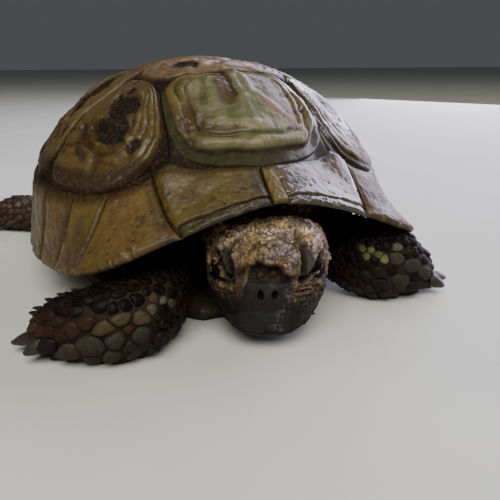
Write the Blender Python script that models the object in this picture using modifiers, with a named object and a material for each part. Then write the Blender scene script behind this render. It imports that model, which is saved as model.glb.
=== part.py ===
"""A Russian tortoise at rest on its plastron, head half drawn in and turned to its right.

The origin is on the floor under the middle of the shell, +Z is up, the head end points
to -Y and the animal's left side is at +X. Lengths below are millimetres, angles degrees;
a plan angle is measured round the shell from the head end, positive on the left side.
"""

import math

import bmesh
import bpy
import numpy as np
from mathutils import Matrix, Vector

MM = 0.001
GAP = 0.35  # clear distance between touching pieces

# Carapace
SHELL_LENGTH = 160.0
SHELL_WIDTH = 133.0
SHELL_HEIGHT = 76.3
RIM_POWER = 2.22  # 2 is an ellipse, more is squarer
FRONT_FLARE = 0.106
REAR_FLARE = 0.045
NUCHAL_NOTCH = 0.03
RIM_HEIGHT = 13.7  # lower edge of the shell above the floor, at the sides
FRONT_ARCH = 27.0  # how far the edge rises over the head
REAR_ARCH = 4.0
TAIL_DIP = 4.0
MARGIN_TOP = 39.5  # height of the seam between marginals and dome, at the sides
DOME_ANGLE = 50.2
DOME_FULLNESS = 1.146
SCUTE_THICKNESS = 3.0
LIP_SHARE = 0.4  # thickness of the shell's lower edge, as a share of the scute's
SCUTE_SWELL = 1.2
SEAM = 0.6
EDGE_SWELL = 0.2

# Seams between marginals at their upper and lower ends, as plan angles
NUCHAL_HALF = 1.7
UPPER_SEAMS = (NUCHAL_HALF, 28, 38, 49.5, 63, 78, 93, 108, 122, 137, 152, 166)
LOWER_SEAMS = (NUCHAL_HALF, 19.5, 41, 51, 64, 78, 93, 108, 122, 137, 152, 166)
FIRST_CORNER = 23.5  # where the first vertebral and first costal meet the marginals
LAST_CORNER = 154.0
COSTAL_ENDS = (FIRST_CORNER, 68.0, 93.0, 118.0, LAST_CORNER)
# Corners of the vertebrals in plan: ends of the cross seams, then the side points
CROSS_SEAMS = ((22.0, -31.0), (18.0, -7.0), (17.0, 18.0), (14.0, 42.0))
SIDE_POINTS = ((27.0, -19.0), (28.0, 5.0), (26.0, 31.0))

# Plastron
LOBE_WIDTH = 38.0
LOBE_REACH = 66.0
PLASTRON_FRONT = -60.0
PLASTRON_REAR = 62.0
PLASTRON_THICKNESS = 4.4
BRIDGE_REACH = 27.0
BRIDGE_START = 42.0
NOTCH_DEPTH = 4.0

# Head, in its own frame: its nose at -Y. Rows: distance forward, half width, top, bottom
HEAD_CENTRE = (0.0, -67.0, 18.0)
HEAD_TURN = -21.0
HEAD_REACH = 30.0  # beyond the head on every side
HEAD_STATIONS = (
    (-18.0, 11.5, 10.2, -8.5),
    (-12.0, 15.2, 13.6, -10.6),
    (-5.0, 17.5, 15.9, -12.4),
    (2.0, 17.8, 16.3, -13.4),
    (8.0, 16.9, 15.4, -14.2),
    (12.5, 15.0, 13.3, -14.5),
    (15.0, 12.6, 10.7, -14.3),
    (17.5, 9.6, 5.8, -13.6),
    (19.6, 7.2, 2.8, -11.6),
    (20.8, 4.0, -0.6, -7.4),
)
HEAD_POWER = 2.9
EYE_RADIUS = 3.7
EYE_PLACE = (12.2, -9.6, 3.8)
JAW_BACK = 2.0
MOUTH_FRONT = -11.2
MOUTH_BACK = -7.6
BEAK_BACK = 7.0
BEAK_TOP = -3.0
BEAK_TOP_BACK = -4.6

# Limbs: rows of x, y, z, half width, half height along the middle line, right side at -X
RIGHT_ARM = (
    (-23, -34, 20, 9, 9),
    (-29, -49, 17, 9.5, 10),
    (-31, -61, 13.5, 9.5, 11),
    (-36, -69, 11, 9.5, 11),
    (-44.5, -70.5, 10.3, 9.3, 10.6),
    (-53, -66.2, 8.5, 8.7, 9.4),
    (-60, -61.8, 6.5, 7.5, 7.5),
    (-64, -60.2, 4.8, 5.8, 5.0),
)
LEFT_ARM = (
    (23, -34, 20, 9, 9),
    (30, -46, 17, 9.5, 10),
    (34, -56, 15, 9.5, 12.5),
    (40, -62, 13, 9.5, 13),
    (47, -63.5, 11.2, 9.2, 11.7),
    (53, -63.5, 8.5, 8.4, 9),
    (57.5, -63.5, 6.5, 7.3, 6.8),
    (60, -63.5, 5.5, 5.3, 4.5),
)
RIGHT_LEG = (
    (-22, 36, 20, 11, 9),
    (-38, 43, 15, 11, 9.3),
    (-50, 49, 9.7, 11, 9.4),
    (-59, 54, 7.5, 10.5, 7.5),
    (-69, 60, 8, 9.8, 8),
    (-79, 65.5, 7.3, 9, 7.3),
    (-83.5, 68, 5.3, 7, 5.3),
)
LEFT_LEG = (
    (22, 36, 20, 11, 9),
    (36, 43, 15, 11, 9.3),
    (47, 50.5, 9.6, 10.5, 9.3),
    (57, 60, 7.5, 9.5, 7.5),
    (63.5, 66.5, 6, 8.5, 6.3),
    (67.5, 70.5, 4.6, 6.8, 4.6),
)
TAIL = (
    (0, 44, 15, 8, 7),
    (0.5, 60, 12.5, 6.5, 6),
    (3, 70, 9.5, 5, 4.6),
    (7.5, 78, 6.5, 3.4, 3.2),
    (12, 82.5, 4, 1.4, 1.4),
)
NECK_ROOT = (6.0, -34.0, 21.0)
ELBOW = 0.42  # share of the length from shoulder to hand
ANKLE = 0.55
CLAW_RADIUS = 2.7
CLAW_LENGTH = 12.0  # from the root inside the foot
# Claws: place across the foot, turn from its heading, share of the length
FORE_CLAWS = ((-0.65, -35, 0.55), (-0.22, 0, 1.0), (0.22, 20, 0.95), (0.65, 42, 0.85))
HIND_CLAWS = ((-0.65, -25, 0.85), (-0.22, -6, 1.0), (0.22, 12, 1.0), (0.65, 30, 0.9))

HORN = (0.30, 0.20, 0.08)
PALE_HORN = (0.42, 0.30, 0.12)
HIDE = (0.10, 0.06, 0.04)
DARK_HORN = (0.04, 0.035, 0.03)
EYE_DARK = (0.01, 0.008, 0.006)


def bump(angle, centre, width, power=2):
    """A smooth hill of height 1 round a plan angle, the same on both sides."""
    return np.exp(-(np.abs((np.abs(angle) - centre) / width) ** power))


# ---------------------------------------------------------------- shell surface


def rim(angle):
    """Radius and height of the carapace's lower edge."""
    turn = np.radians(angle)
    across = np.abs(np.sin(turn)) / (SHELL_WIDTH / 2)
    along = np.abs(np.cos(turn)) / (SHELL_LENGTH / 2)
    radius = (across**RIM_POWER + along**RIM_POWER) ** (-1 / RIM_POWER)
    flare = FRONT_FLARE * bump(angle, 36, 13.5) + REAR_FLARE * bump(angle, 145, 25)
    radius = radius * (1 + flare - NUCHAL_NOTCH * bump(angle, 0, 9))
    height = RIM_HEIGHT + FRONT_ARCH * bump(angle, 0, 37.5)
    height = height + REAR_ARCH * bump(angle, 140, 25) - TAIL_DIP * bump(angle, 180, 20)
    return radius, height


def margin_top(angle):
    """Radius and height of the seam between the marginals and the dome."""
    share = 0.945 - 0.165 * bump(angle, 22, 25) - 0.10 * bump(angle, 180, 45)
    share = share - 0.04 * bump(angle, 40, 14)
    height = MARGIN_TOP + 8.9 * bump(angle, 0, 34, 4) - 4.0 * bump(angle, 180, 40)
    height = height + 3.0 * bump(angle, FIRST_CORNER, 4)
    return rim(angle)[0] * share, height


def polar(angle, radius, height):
    turn = np.radians(angle)
    return np.stack([radius * np.sin(turn), -radius * np.cos(turn), height], -1)


def dome_height(angle, radius):
    """Height of the dome over the plan point at this angle and radius."""
    edge, low = margin_top(angle)
    steepest = math.radians(DOME_ANGLE)
    slope = np.arcsin(np.clip(radius / edge, 0, 1) * math.sin(steepest))
    fall = (1 - np.cos(slope)) / (1 - math.cos(steepest))
    return SHELL_HEIGHT - (SHELL_HEIGHT - low) * fall**DOME_FULLNESS


def dome_point(x, y):
    angle = np.degrees(np.arctan2(x, -y))
    return np.stack([x, y, dome_height(angle, np.hypot(x, y))], -1)


def carapace(angle, t):
    """A shell point: t runs from 0 at the crown by 1 at the marginals' top to 2 at the edge."""
    top_radius, top_height = margin_top(angle)
    edge_radius, edge_height = rim(angle)
    slope = np.clip(t, 0, 1) * math.radians(DOME_ANGLE)
    dome_radius = top_radius * np.sin(slope) / math.sin(math.radians(DOME_ANGLE))
    down = np.clip(t - 1, 0, 1)
    radius = dome_radius + (edge_radius - top_radius) * down
    height = dome_height(angle, dome_radius) + (edge_height - top_height) * (
        down + 2 * EDGE_SWELL * down * (1 - down)
    )
    return polar(angle, radius, height)


def outward(points):
    """Unit directions from the middle of the body out to the points."""
    away = points - np.array([0.0, 0.0, 22.0])
    return away / np.linalg.norm(away, axis=-1, keepdims=True)


# ---------------------------------------------------------------- mesh making


def collection(name):
    made = bpy.data.collections.new(name)
    bpy.context.scene.collection.children.link(made)
    return made


def clear_scene():
    for obj in list(bpy.data.objects):
        bpy.data.objects.remove(obj)


def paint(obj, colour, roughness):
    material = bpy.data.materials.new(obj.name)
    material.use_nodes = True
    shader = material.node_tree.nodes["Principled BSDF"]
    shader.inputs["Base Color"].default_value = (*colour, 1)
    shader.inputs["Roughness"].default_value = roughness
    obj.data.materials.append(material)


def add(name, bm, colour=None, roughness=0.6, smooth=True):
    """A piece of the animal from a bmesh in millimetres, or a helper if it has no colour."""
    bmesh.ops.scale(bm, vec=(MM, MM, MM), verts=bm.verts)
    mesh = bpy.data.meshes.new(name)
    bm.to_mesh(mesh)
    bm.free()
    obj = bpy.data.objects.new(name, mesh)
    if smooth:
        mesh.shade_smooth()
        mesh.set_sharp_from_angle(angle=math.radians(50))
    if colour:
        ANIMAL.objects.link(obj)
        paint(obj, colour, roughness)
    else:
        HELPERS.objects.link(obj)
        obj.hide_render = True
        obj.display_type = "WIRE"
    return obj


def modifier_boolean(obj, other, operation):
    modifier = obj.modifiers.new(f"{operation.lower()} {other.name}", "BOOLEAN")
    modifier.operation = operation
    modifier.object = other
    modifier.solver = "EXACT"
    modifier.use_self = True


def thicken(obj, thickness):
    """Gives an open surface its thickness on the side away from its normals."""
    modifier = obj.modifiers.new("thickness", "SOLIDIFY")
    modifier.thickness = thickness * MM
    modifier.offset = -1
    modifier.use_even_offset = True


def sheet(columns, rows, place):
    """A grid whose unit square is carried to the points that place gives."""
    bm = bmesh.new()
    bmesh.ops.create_grid(bm, x_segments=columns, y_segments=rows, size=0.5)
    unit = np.array([v.co[:2] for v in bm.verts]) + 0.5
    for vert, point in zip(bm.verts, place(unit[:, 0], unit[:, 1])):
        vert.co = Vector(point)
    return bm


def face_outward(bm, reference):
    """Turns an open surface so that its normals point away from the reference point."""
    bm.normal_update()
    lean = sum((f.calc_center_median() - reference).dot(f.normal) * f.calc_area() for f in bm.faces)
    if lean < 0:
        bmesh.ops.reverse_faces(bm, faces=bm.faces)


def loft(rings):
    """A closed solid through rings of equally many points, with flat ends."""
    bm = bmesh.new()
    loops = [[bm.verts.new(point) for point in ring] for ring in rings]
    for near, far in zip(loops, loops[1:]):
        for i in range(len(near)):
            j = (i + 1) % len(near)
            bm.faces.new((near[i], near[j], far[j], far[i]))
    bm.faces.new(loops[0])
    bm.faces.new(loops[-1])
    bmesh.ops.recalc_face_normals(bm, faces=bm.faces)
    bmesh.ops.triangulate(bm, faces=bm.faces)
    return bm


def superellipse(count, power):
    """Points of a unit squarish circle."""
    turn = np.linspace(0, 2 * math.pi, count, endpoint=False)
    size = (np.abs(np.cos(turn)) ** power + np.abs(np.sin(turn)) ** power) ** (-1 / power)
    return np.stack([size * np.cos(turn), size * np.sin(turn)], -1)


def smooth_rows(rows, count, axes=3):
    """The rows resampled along a smooth curve, evenly by length over their first axes."""
    rows = np.array(rows, float)
    steps = np.linalg.norm(np.diff(rows[:, :axes], axis=0), axis=1)
    knots = np.concatenate([[0], np.cumsum(steps)])
    slopes = np.gradient(rows, knots, axis=0)
    at = np.linspace(0, knots[-1], count)
    span = np.clip(np.searchsorted(knots, at, side="right") - 1, 0, len(knots) - 2)
    width = knots[span + 1] - knots[span]
    q = ((at - knots[span]) / width)[:, None]
    width = width[:, None]
    return (
        (1 + 2 * q) * (1 - q) ** 2 * rows[span]
        + q * (1 - q) ** 2 * width * slopes[span]
        + q**2 * (3 - 2 * q) * rows[span + 1]
        + q**2 * (q - 1) * width * slopes[span + 1]
    )


# ---------------------------------------------------------------- carapace


def line(*corners):
    """An edge through two or three plan corners, the middle one at its half."""
    corners = np.array(corners, float)
    knots = np.linspace(0, 1, len(corners))
    return lambda q: np.stack([np.interp(q, knots, corners[:, k]) for k in (0, 1)], -1)


def margin_line(first, last):
    """An edge along the top of the marginals between two plan angles."""

    def place(q):
        angle = first + (last - first) * q
        return polar(angle, margin_top(angle)[0], 0 * angle)[..., :2]

    return place


def dome_scute(name, front, rear, left, right):
    """A scute of the dome inside four plan edges: front and rear run across, left and right back."""
    size_u = np.linalg.norm(front(1.0) - front(0.0))
    size_v = np.linalg.norm(left(1.0) - left(0.0))

    def place(u, v):
        swell = SCUTE_SWELL * (1 - (2 * u - 1) ** 4) * (1 - (2 * v - 1) ** 4)
        u = u + (0.5 - u) * SEAM / size_u
        v = v + (0.5 - v) * SEAM / size_v
        cu, cv = u[:, None], v[:, None]
        corners = (
            (1 - cu) * (1 - cv) * front(0.0)
            + cu * (1 - cv) * front(1.0)
            + (1 - cu) * cv * rear(0.0)
            + cu * cv * rear(1.0)
        )
        across = (1 - cv) * front(u) + cv * rear(u)
        along = (1 - cu) * left(v) + cu * right(v)
        plan = across + along - corners
        points = dome_point(plan[:, 0], plan[:, 1])
        return points + outward(points) * swell[:, None]

    bm = sheet(6, 6, place)
    face_outward(bm, Vector((0, 0, 20)))
    thicken(add(name, bm, PALE_HORN, 0.35), SCUTE_THICKNESS)


def marginal_scute(name, upper, lower, columns):
    """A scute of the edge between two plan angles at its top and two at its lower edge."""
    inset = math.degrees(SEAM / SHELL_WIDTH)

    def place(u, v):
        u_top = upper[0] + inset + (upper[1] - upper[0] - 2 * inset) * u
        u_low = lower[0] + inset + (lower[1] - lower[0] - 2 * inset) * u
        swell = 1.2 * SCUTE_SWELL * (1 - (2 * u - 1) ** 4) * (1 - v**2) * v
        points = carapace(u_top + (u_low - u_top) * v, 1.02 + 0.98 * v)
        return points + outward(points) * swell[:, None]

    bm = sheet(columns, 4, place)
    count = len(bm.verts)
    face_outward(bm, Vector((0, 0, 20)))
    obj = add(name, bm, HORN, 0.35)
    thicken(obj, SCUTE_THICKNESS)
    thin_to_edge(obj, columns + 1, count)


def thin_to_edge(obj, across, count):
    """Tapers a marginal's thickness from its top row of points to its lower edge."""
    group = obj.vertex_groups.new(name="thickness")
    for index in range(count):
        down = (index // across) / (count // across - 1)
        group.add([index], 1 - (1 - LIP_SHARE) * down, "REPLACE")
    modifier = obj.modifiers["thickness"]
    modifier.vertex_group = group.name


def vertebrals():
    def pair(corner):
        return (-corner[0], corner[1]), corner

    cross = [line(*pair(corner)) for corner in CROSS_SEAMS]
    first = margin_line(-FIRST_CORNER, FIRST_CORNER)
    last = margin_line(-LAST_CORNER, -360 + LAST_CORNER)
    fronts = [first, *cross]
    rears = [*cross, last]
    for i, (front, rear) in enumerate(zip(fronts, rears)):
        middle = [pair(SIDE_POINTS[i - 1])] if 0 < i < 4 else []
        sides = [
            line(front(float(k)), *[p[k] for p in middle], rear(float(k))) for k in (0, 1)
        ]
        dome_scute(f"vertebral_{i + 1}", front, rear, *sides)


def costals(side, suffix):
    """The four costals of one side, +1 for the left; their fronts run outwards."""

    def at(corner):
        return side * corner[0], corner[1]

    ends = [margin_line(0, side * angle)(1.0) for angle in COSTAL_ENDS]
    inner = [
        line(at(CROSS_SEAMS[0]), at(SIDE_POINTS[0])),
        line(at(SIDE_POINTS[0]), at(CROSS_SEAMS[1]), at(SIDE_POINTS[1])),
        line(at(SIDE_POINTS[1]), at(CROSS_SEAMS[2]), at(SIDE_POINTS[2])),
        line(at(SIDE_POINTS[2]), at(CROSS_SEAMS[3])),
    ]
    for i, edge in enumerate(inner):
        outer = margin_line(side * COSTAL_ENDS[i], side * COSTAL_ENDS[i + 1])
        front = line(edge(0.0), ends[i])
        rear = line(edge(1.0), ends[i + 1])
        dome_scute(f"costal_{i + 1}_{suffix}", front, rear, edge, outer)


def marginals():
    nuchal = (-NUCHAL_HALF, NUCHAL_HALF)
    marginal_scute("nuchal", nuchal, nuchal, 2)
    rear = (UPPER_SEAMS[-1], 360 - UPPER_SEAMS[-1])
    marginal_scute("supracaudal", rear, rear, 6)
    uppers = list(zip(UPPER_SEAMS, UPPER_SEAMS[1:]))
    lowers = list(zip(LOWER_SEAMS, LOWER_SEAMS[1:]))
    for i, (upper, lower) in enumerate(zip(uppers, lowers)):
        marginal_scute(f"marginal_{i + 1}_left", upper, lower, 4)
        mirrored = (-upper[1], -upper[0]), (-lower[1], -lower[0])
        marginal_scute(f"marginal_{i + 1}_right", *mirrored, 4)


# ---------------------------------------------------------------- plastron and trunk


def plastron(name, grow, colour):
    """The flat belly plate with its lobes and bridges, or with grow the room it needs."""

    def place(u, v):
        y = PLASTRON_FRONT - grow + (PLASTRON_REAR - PLASTRON_FRONT + 2 * grow) * v
        across = 2 * u - 1
        lobe = LOBE_WIDTH * (1 - np.abs(y / LOBE_REACH) ** 2.6) ** 0.5
        rim_x = SHELL_WIDTH / 2 * (1 - np.abs(y / (SHELL_LENGTH / 2)) ** RIM_POWER) ** (1 / RIM_POWER)
        bridge = np.exp(-((y / BRIDGE_REACH) ** 6))
        half = lobe + (rim_x - SCUTE_THICKNESS - 2 * GAP - lobe) * bridge + grow
        x = across * half
        notch = NOTCH_DEPTH * np.clip(1 - np.abs(across) / 0.35, 0, 1)
        y = y + notch * (np.clip(1 - 6 * v, 0, 1) - np.clip(6 * v - 5, 0, 1))
        climb = np.clip((np.abs(x) - BRIDGE_START) / (60.0 - BRIDGE_START), 0, 1.2)
        z = (RIM_HEIGHT - 2 * GAP) * climb**2 * (3 - 2 * climb) - grow
        return np.stack([x, y, np.minimum(z, RIM_HEIGHT - 2 * GAP)], -1)

    bm = sheet(10, 12, place)
    face_outward(bm, Vector((0, 0, 40)))
    obj = add(name, bm, colour, 0.5)
    thicken(obj, PLASTRON_THICKNESS + 2 * grow)
    obj.modifiers.new("triangles", "TRIANGULATE")
    return obj


def trunk(name, grow, colour):
    """The body inside the shell, set back round the limbs, or with grow the room it needs."""
    angle = np.linspace(-180, 180, 30, endpoint=False)
    front, back, side = bump(angle, 0, 48), bump(angle, 180, 45), bump(angle, 90, 52)
    reach = rim(angle)[0] * (0.88 - 0.33 * front - 0.20 * back) + grow
    last = 1.6 - 0.9 * bump(angle, 0, 42) - 0.7 * back
    rings = []
    for share in (0.1, 0.3, 0.5, 0.7, 0.85, 1.0):
        points = carapace(angle, share * last)
        rings.append(points - outward(points) * (SCUTE_THICKNESS + 1.6 - grow))
    waist = 8 + 12.5 * side
    rings.append(polar(angle, reach, waist + 12 - 8 * side))
    rings.append(polar(angle, reach, waist))
    floor = PLASTRON_THICKNESS + 2 * GAP - grow
    rings.append(polar(angle, reach * (0.93 - 0.33 * side), floor + 0 * angle))
    return add(name, loft(rings), colour, 0.8)


# ---------------------------------------------------------------- head and limbs


def place_head(obj):
    obj.location = Vector(HEAD_CENTRE) * MM
    obj.rotation_euler.z = math.radians(HEAD_TURN)


def head_rings(count):
    """Rings round the head from its back to its nose."""
    rows = smooth_rows([(-s, w, top, low) for s, w, top, low in HEAD_STATIONS], 15, axes=1)
    ring = superellipse(count, HEAD_POWER)
    for y, half, top, low in rows:
        x = ring[:, 0] * half
        z = (top + low) / 2 + ring[:, 1] * (top - low) / 2
        yield np.stack([x, np.full(count, y), z], -1)


def head_block(name, rear, low, high, grow=0.0):
    """A block across the head from rear forwards; low and high are heights (front, back)."""
    bm = bmesh.new()
    bmesh.ops.create_cube(bm, size=1)
    for vert in bm.verts:
        end = 0 if vert.co.y < 0 else 1
        vert.co.x *= 4 * HEAD_STATIONS[2][1]
        vert.co.z = high[end] + grow if vert.co.z > 0 else low[end] - grow
        vert.co.y = (-HEAD_REACH, grow - rear)[end]
    obj = add(name, bm, smooth=False)
    place_head(obj)
    return obj


def ball(name, radius, side, colour=None):
    """An eye, or with no colour the room for one."""
    x, y, z = EYE_PLACE
    bm = bmesh.new()
    bmesh.ops.create_uvsphere(bm, u_segments=12, v_segments=8, radius=radius)
    bmesh.ops.translate(bm, vec=(side * x, y, z), verts=bm.verts)
    obj = add(name, bm, colour, 0.1)
    place_head(obj)
    return obj


def head():
    """The head with its beak and lower jaw parted from it by thin cuts, and its eyes."""
    jaw = (JAW_BACK, (-HEAD_REACH, -HEAD_REACH), (MOUTH_FRONT, MOUTH_BACK))
    beak = (BEAK_BACK, (MOUTH_FRONT + GAP, MOUTH_BACK + GAP), (BEAK_TOP, BEAK_TOP_BACK))
    skull = add("head", loft(list(head_rings(20))), HIDE, 0.8)
    place_head(skull)
    for name, block in (("lower_jaw", jaw), ("upper_beak", beak)):
        horn = add(name, loft(list(head_rings(20))), DARK_HORN, 0.4)
        place_head(horn)
        modifier_boolean(horn, head_block(f"{name} block", *block), "INTERSECT")
        modifier_boolean(skull, head_block(f"{name} room", *block, GAP), "DIFFERENCE")
    for side, suffix in ((1, "left"), (-1, "right")):
        ball(f"eye_{suffix}", EYE_RADIUS, side, EYE_DARK)
        modifier_boolean(skull, ball(f"socket {suffix}", EYE_RADIUS + GAP, side), "DIFFERENCE")


def tube_rings(rows, first, last, steps, sides, power=2.3):
    """Rings round the middle line of a limb between two shares of its length, flat at the floor."""
    fine = smooth_rows(rows, 101)
    shares = np.linspace(0, 1, 101)
    ring = superellipse(sides, power)
    rings = []
    for share in np.linspace(first, last, steps):
        x, y, z, half, tall = (np.interp(share, shares, fine[:, k]) for k in range(5))
        ahead = np.array([np.interp(min(share + 0.02, 1), shares, fine[:, k]) for k in range(3)])
        behind = np.array([np.interp(max(share - 0.02, 0), shares, fine[:, k]) for k in range(3)])
        tangent = (ahead - behind) / np.linalg.norm(ahead - behind)
        across = np.cross(tangent, (0, 0, 1))
        across /= np.linalg.norm(across)
        up = np.cross(across, tangent)
        points = np.array([x, y, z]) + ring[:, :1] * across * half + ring[:, 1:] * up * tall
        points[:, 2] = np.maximum(points[:, 2], 0)
        rings.append(points)
    return rings


def claw(name, root, direction, length):
    """A tapering cone from its root inside the foot, kept off the floor."""
    bm = bmesh.new()
    bmesh.ops.create_cone(
        bm, cap_ends=True, segments=6, radius1=CLAW_RADIUS, radius2=0.6, depth=length
    )
    turn = Vector((0, 0, 1)).rotation_difference(direction).to_matrix().to_4x4()
    place = Matrix.Translation(root + direction * length / 2)
    bmesh.ops.transform(bm, matrix=place @ turn, verts=bm.verts)
    for vert in bm.verts:
        vert.co.z = max(vert.co.z, 0.3)
    return add(name, bm)


def tube(name, rings, cutters):
    """A fleshy length through the rings, with the cutters' room taken off it."""
    body = add(name, loft(rings), HIDE, 0.8)
    for cutter in cutters:
        modifier_boolean(body, cutter, "DIFFERENCE")
    return body


def limb(rows, upper_name, foot_name, parting, claws, cutters):
    """A leg in two lengths, its claws joined to the foot; the right side is at -X."""
    length = np.linalg.norm(np.diff(np.array(rows, float)[:, :3], axis=0), axis=1).sum()
    tube(upper_name, tube_rings(rows, 0, parting, 6, 12), cutters)
    foot = tube(foot_name, tube_rings(rows, parting + GAP / length, 1, 8, 12), cutters)
    wrist, end = Vector(rows[-2][:3]), Vector(rows[-1][:3])
    side = 1 if end.x < 0 else -1
    forward = (end - wrist).normalized()
    behind = side * forward.cross((0, 0, 1)).normalized()
    for i, (place, turn, share) in enumerate(claws):
        direction = Vector((forward.x, forward.y, -0.12)).normalized()
        direction.rotate(Matrix.Rotation(math.radians(-side * turn), 3, "Z"))
        root = wrist + behind * rows[-2][3] * place
        root.z = max(wrist.z - 1.5, CLAW_RADIUS + 0.4)
        tip = claw(f"{foot_name} claw {i + 1}", root, direction, CLAW_LENGTH * share)
        modifier_boolean(foot, tip, "UNION")


def neck(cutters):
    """The neck from a thin cut behind the head back into the shell."""
    turn = math.radians(HEAD_TURN)
    forward = Vector((math.sin(turn), -math.cos(turn), 0))
    start, half, top, low = HEAD_STATIONS[0]
    joint = Vector(HEAD_CENTRE) + forward * (start - GAP) + Vector((0, 0, (top + low) / 2))
    tall = (top - low) / 2
    rows = [
        (*joint, half, tall),
        (*(joint - forward * 6), half + 0.5, tall + 0.5),
        (*NECK_ROOT, half + 3, tall + 3),
    ]
    tube("neck", tube_rings(rows, 0, 1, 5, 14, HEAD_POWER), cutters)


clear_scene()
ANIMAL = collection("tortoise")
HELPERS = collection("helpers")

vertebrals()
costals(1, "left")
costals(-1, "right")
marginals()
plastron("plastron", 0, PALE_HORN)
trunk("trunk", 0, HIDE)
ROOM = (trunk("trunk room", GAP, None), plastron("plastron room", GAP, None))
head()
neck(ROOM)
limb(RIGHT_ARM, "arm_right", "forearm_right", ELBOW, FORE_CLAWS, ROOM)
limb(LEFT_ARM, "arm_left", "forearm_left", ELBOW, FORE_CLAWS, ROOM)
limb(RIGHT_LEG, "leg_right", "foot_right", ANKLE, HIND_CLAWS, ROOM)
limb(LEFT_LEG, "leg_left", "foot_left", ANKLE, HIND_CLAWS, ROOM)
tube("tail", tube_rings(TAIL, 0, 1, 8, 10), ROOM)
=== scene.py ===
"""The finished look of a Russian tortoise at rest: horn plates, scaly hide, beak, claws and eyes.

Shapes are worked out in millimetres in the frame of the CAD model: the origin on the floor under
the middle of the shell, +Z up, the head end at -Y and the animal's left side at +X. A plan angle
is measured in degrees round the shell from the head end, positive on the left side.
"""

import contextlib
import itertools
import math

import bpy
import numpy as np
from mathutils import Matrix, Vector
from mathutils.bvhtree import BVHTree
from mathutils.kdtree import KDTree


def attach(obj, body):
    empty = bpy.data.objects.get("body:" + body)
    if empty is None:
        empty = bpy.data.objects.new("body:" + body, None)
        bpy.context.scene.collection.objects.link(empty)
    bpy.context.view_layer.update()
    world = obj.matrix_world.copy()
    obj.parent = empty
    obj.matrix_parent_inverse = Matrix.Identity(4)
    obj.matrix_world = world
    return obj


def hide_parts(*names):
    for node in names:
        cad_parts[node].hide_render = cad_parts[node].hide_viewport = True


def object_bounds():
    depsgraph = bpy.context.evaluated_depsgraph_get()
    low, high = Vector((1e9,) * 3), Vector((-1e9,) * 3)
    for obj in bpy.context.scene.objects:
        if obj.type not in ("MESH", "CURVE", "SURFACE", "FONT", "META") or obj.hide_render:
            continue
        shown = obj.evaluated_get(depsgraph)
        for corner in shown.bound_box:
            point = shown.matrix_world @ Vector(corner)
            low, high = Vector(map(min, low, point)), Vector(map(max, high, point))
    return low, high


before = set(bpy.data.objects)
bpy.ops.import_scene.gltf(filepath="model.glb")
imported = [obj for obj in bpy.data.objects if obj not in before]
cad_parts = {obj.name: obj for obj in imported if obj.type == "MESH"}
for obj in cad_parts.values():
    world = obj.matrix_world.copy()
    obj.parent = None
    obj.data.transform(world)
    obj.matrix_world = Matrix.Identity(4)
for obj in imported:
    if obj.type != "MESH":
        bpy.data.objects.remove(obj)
CAD_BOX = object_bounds()
MM = 0.001
BODY = "root"
RANDOM = np.random.default_rng(7)
WELD = 0.01 * MM  # points nearer than this are one
FLOOR_GAP = 0.1  # how far over the floor the lowest scales and claws stay

# Carapace, as in the CAD model
SHELL_LENGTH = 160.0
SHELL_WIDTH = 133.0
SHELL_HEIGHT = 76.3
RIM_POWER = 2.22
FRONT_FLARE = 0.106
REAR_FLARE = 0.045
NUCHAL_NOTCH = 0.03
RIM_HEIGHT = 13.7
FRONT_ARCH = 27.0
REAR_ARCH = 4.0
TAIL_DIP = 4.0
MARGIN_TOP = 39.5
DOME_ANGLE = 50.2
DOME_FULLNESS = 1.146
EDGE_SWELL = 0.2
NUCHAL_HALF = 1.7
UPPER_SEAMS = (NUCHAL_HALF, 28, 38, 49.5, 63, 78, 93, 108, 122, 137, 152, 166)
LOWER_SEAMS = (NUCHAL_HALF, 19.5, 41, 51, 64, 78, 93, 108, 122, 137, 152, 166)
FIRST_CORNER = 23.5
LAST_CORNER = 154.0
COSTAL_ENDS = (FIRST_CORNER, 68.0, 93.0, 118.0, LAST_CORNER)
CROSS_SEAMS = ((22.0, -31.0), (18.0, -7.0), (17.0, 18.0), (14.0, 42.0))
SIDE_POINTS = ((27.0, -19.0), (28.0, 5.0), (26.0, 31.0))
PLATE_DEPTH = 0.96  # size of a plate's back against its face, seen from the body's middle
CORNER_POWER = 4.2  # how square the growth rings of a plate are
BODY_MIDDLE = np.array([0.0, 0.0, 22.0])

# Head frame: its nose at -Y
HEAD_CENTRE = np.array([0.0, -67.0, 18.0])
HEAD_TURN = math.radians(-21.0)

# Colours of horn and hide, linear
OLIVE = (0.074, 0.047, 0.010)
YELLOW_OLIVE = (0.104, 0.076, 0.014)
OCHRE = (0.100, 0.056, 0.012)
GREY_OLIVE = (0.116, 0.118, 0.058)
ROSE_BROWN = (0.230, 0.140, 0.085)
UMBER = (0.050, 0.027, 0.010)
PLUM = (0.020, 0.010, 0.006)
MOSS = (0.026, 0.027, 0.013)
# near black: dark seams, cracks, losses, grit and claw tips, and also painted shade in creases, slits,
# under the brow and on the plastron's front
NEAR_BLACK = (0.006, 0.005, 0.005)
CREAM = (0.330, 0.270, 0.140)
# pale lilac painted highlight: the window's glare drawn as colour down a ridge of the front vertebral
PAINTED_GLARE = (0.250, 0.215, 0.215)
HIDE_BROWN = (0.018, 0.010, 0.006)
HIDE_RED = (0.028, 0.010, 0.005)
SCALE_GREY = (0.042, 0.034, 0.025)
CRUST_TAN = (0.350, 0.268, 0.180)
CRUST_OCHRE = (0.300, 0.185, 0.055)
CRUST_MAUVE = (0.345, 0.262, 0.290)
LID_BROWN = (0.046, 0.037, 0.026)
SNOUT_GREY = (0.009, 0.0098, 0.0092)
BELLY_YELLOW = (0.240, 0.175, 0.070)
HAND_BROWN = (0.050, 0.022, 0.012)
SPUR_HORN = (0.014, 0.011, 0.010)
CLAW_OLIVE = (0.024, 0.022, 0.015)
CLAW_BROWN = (0.012, 0.007, 0.005)
BLACK = (0.0012, 0.0012, 0.0012)


# ---------------------------------------------------------------- numbers


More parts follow.
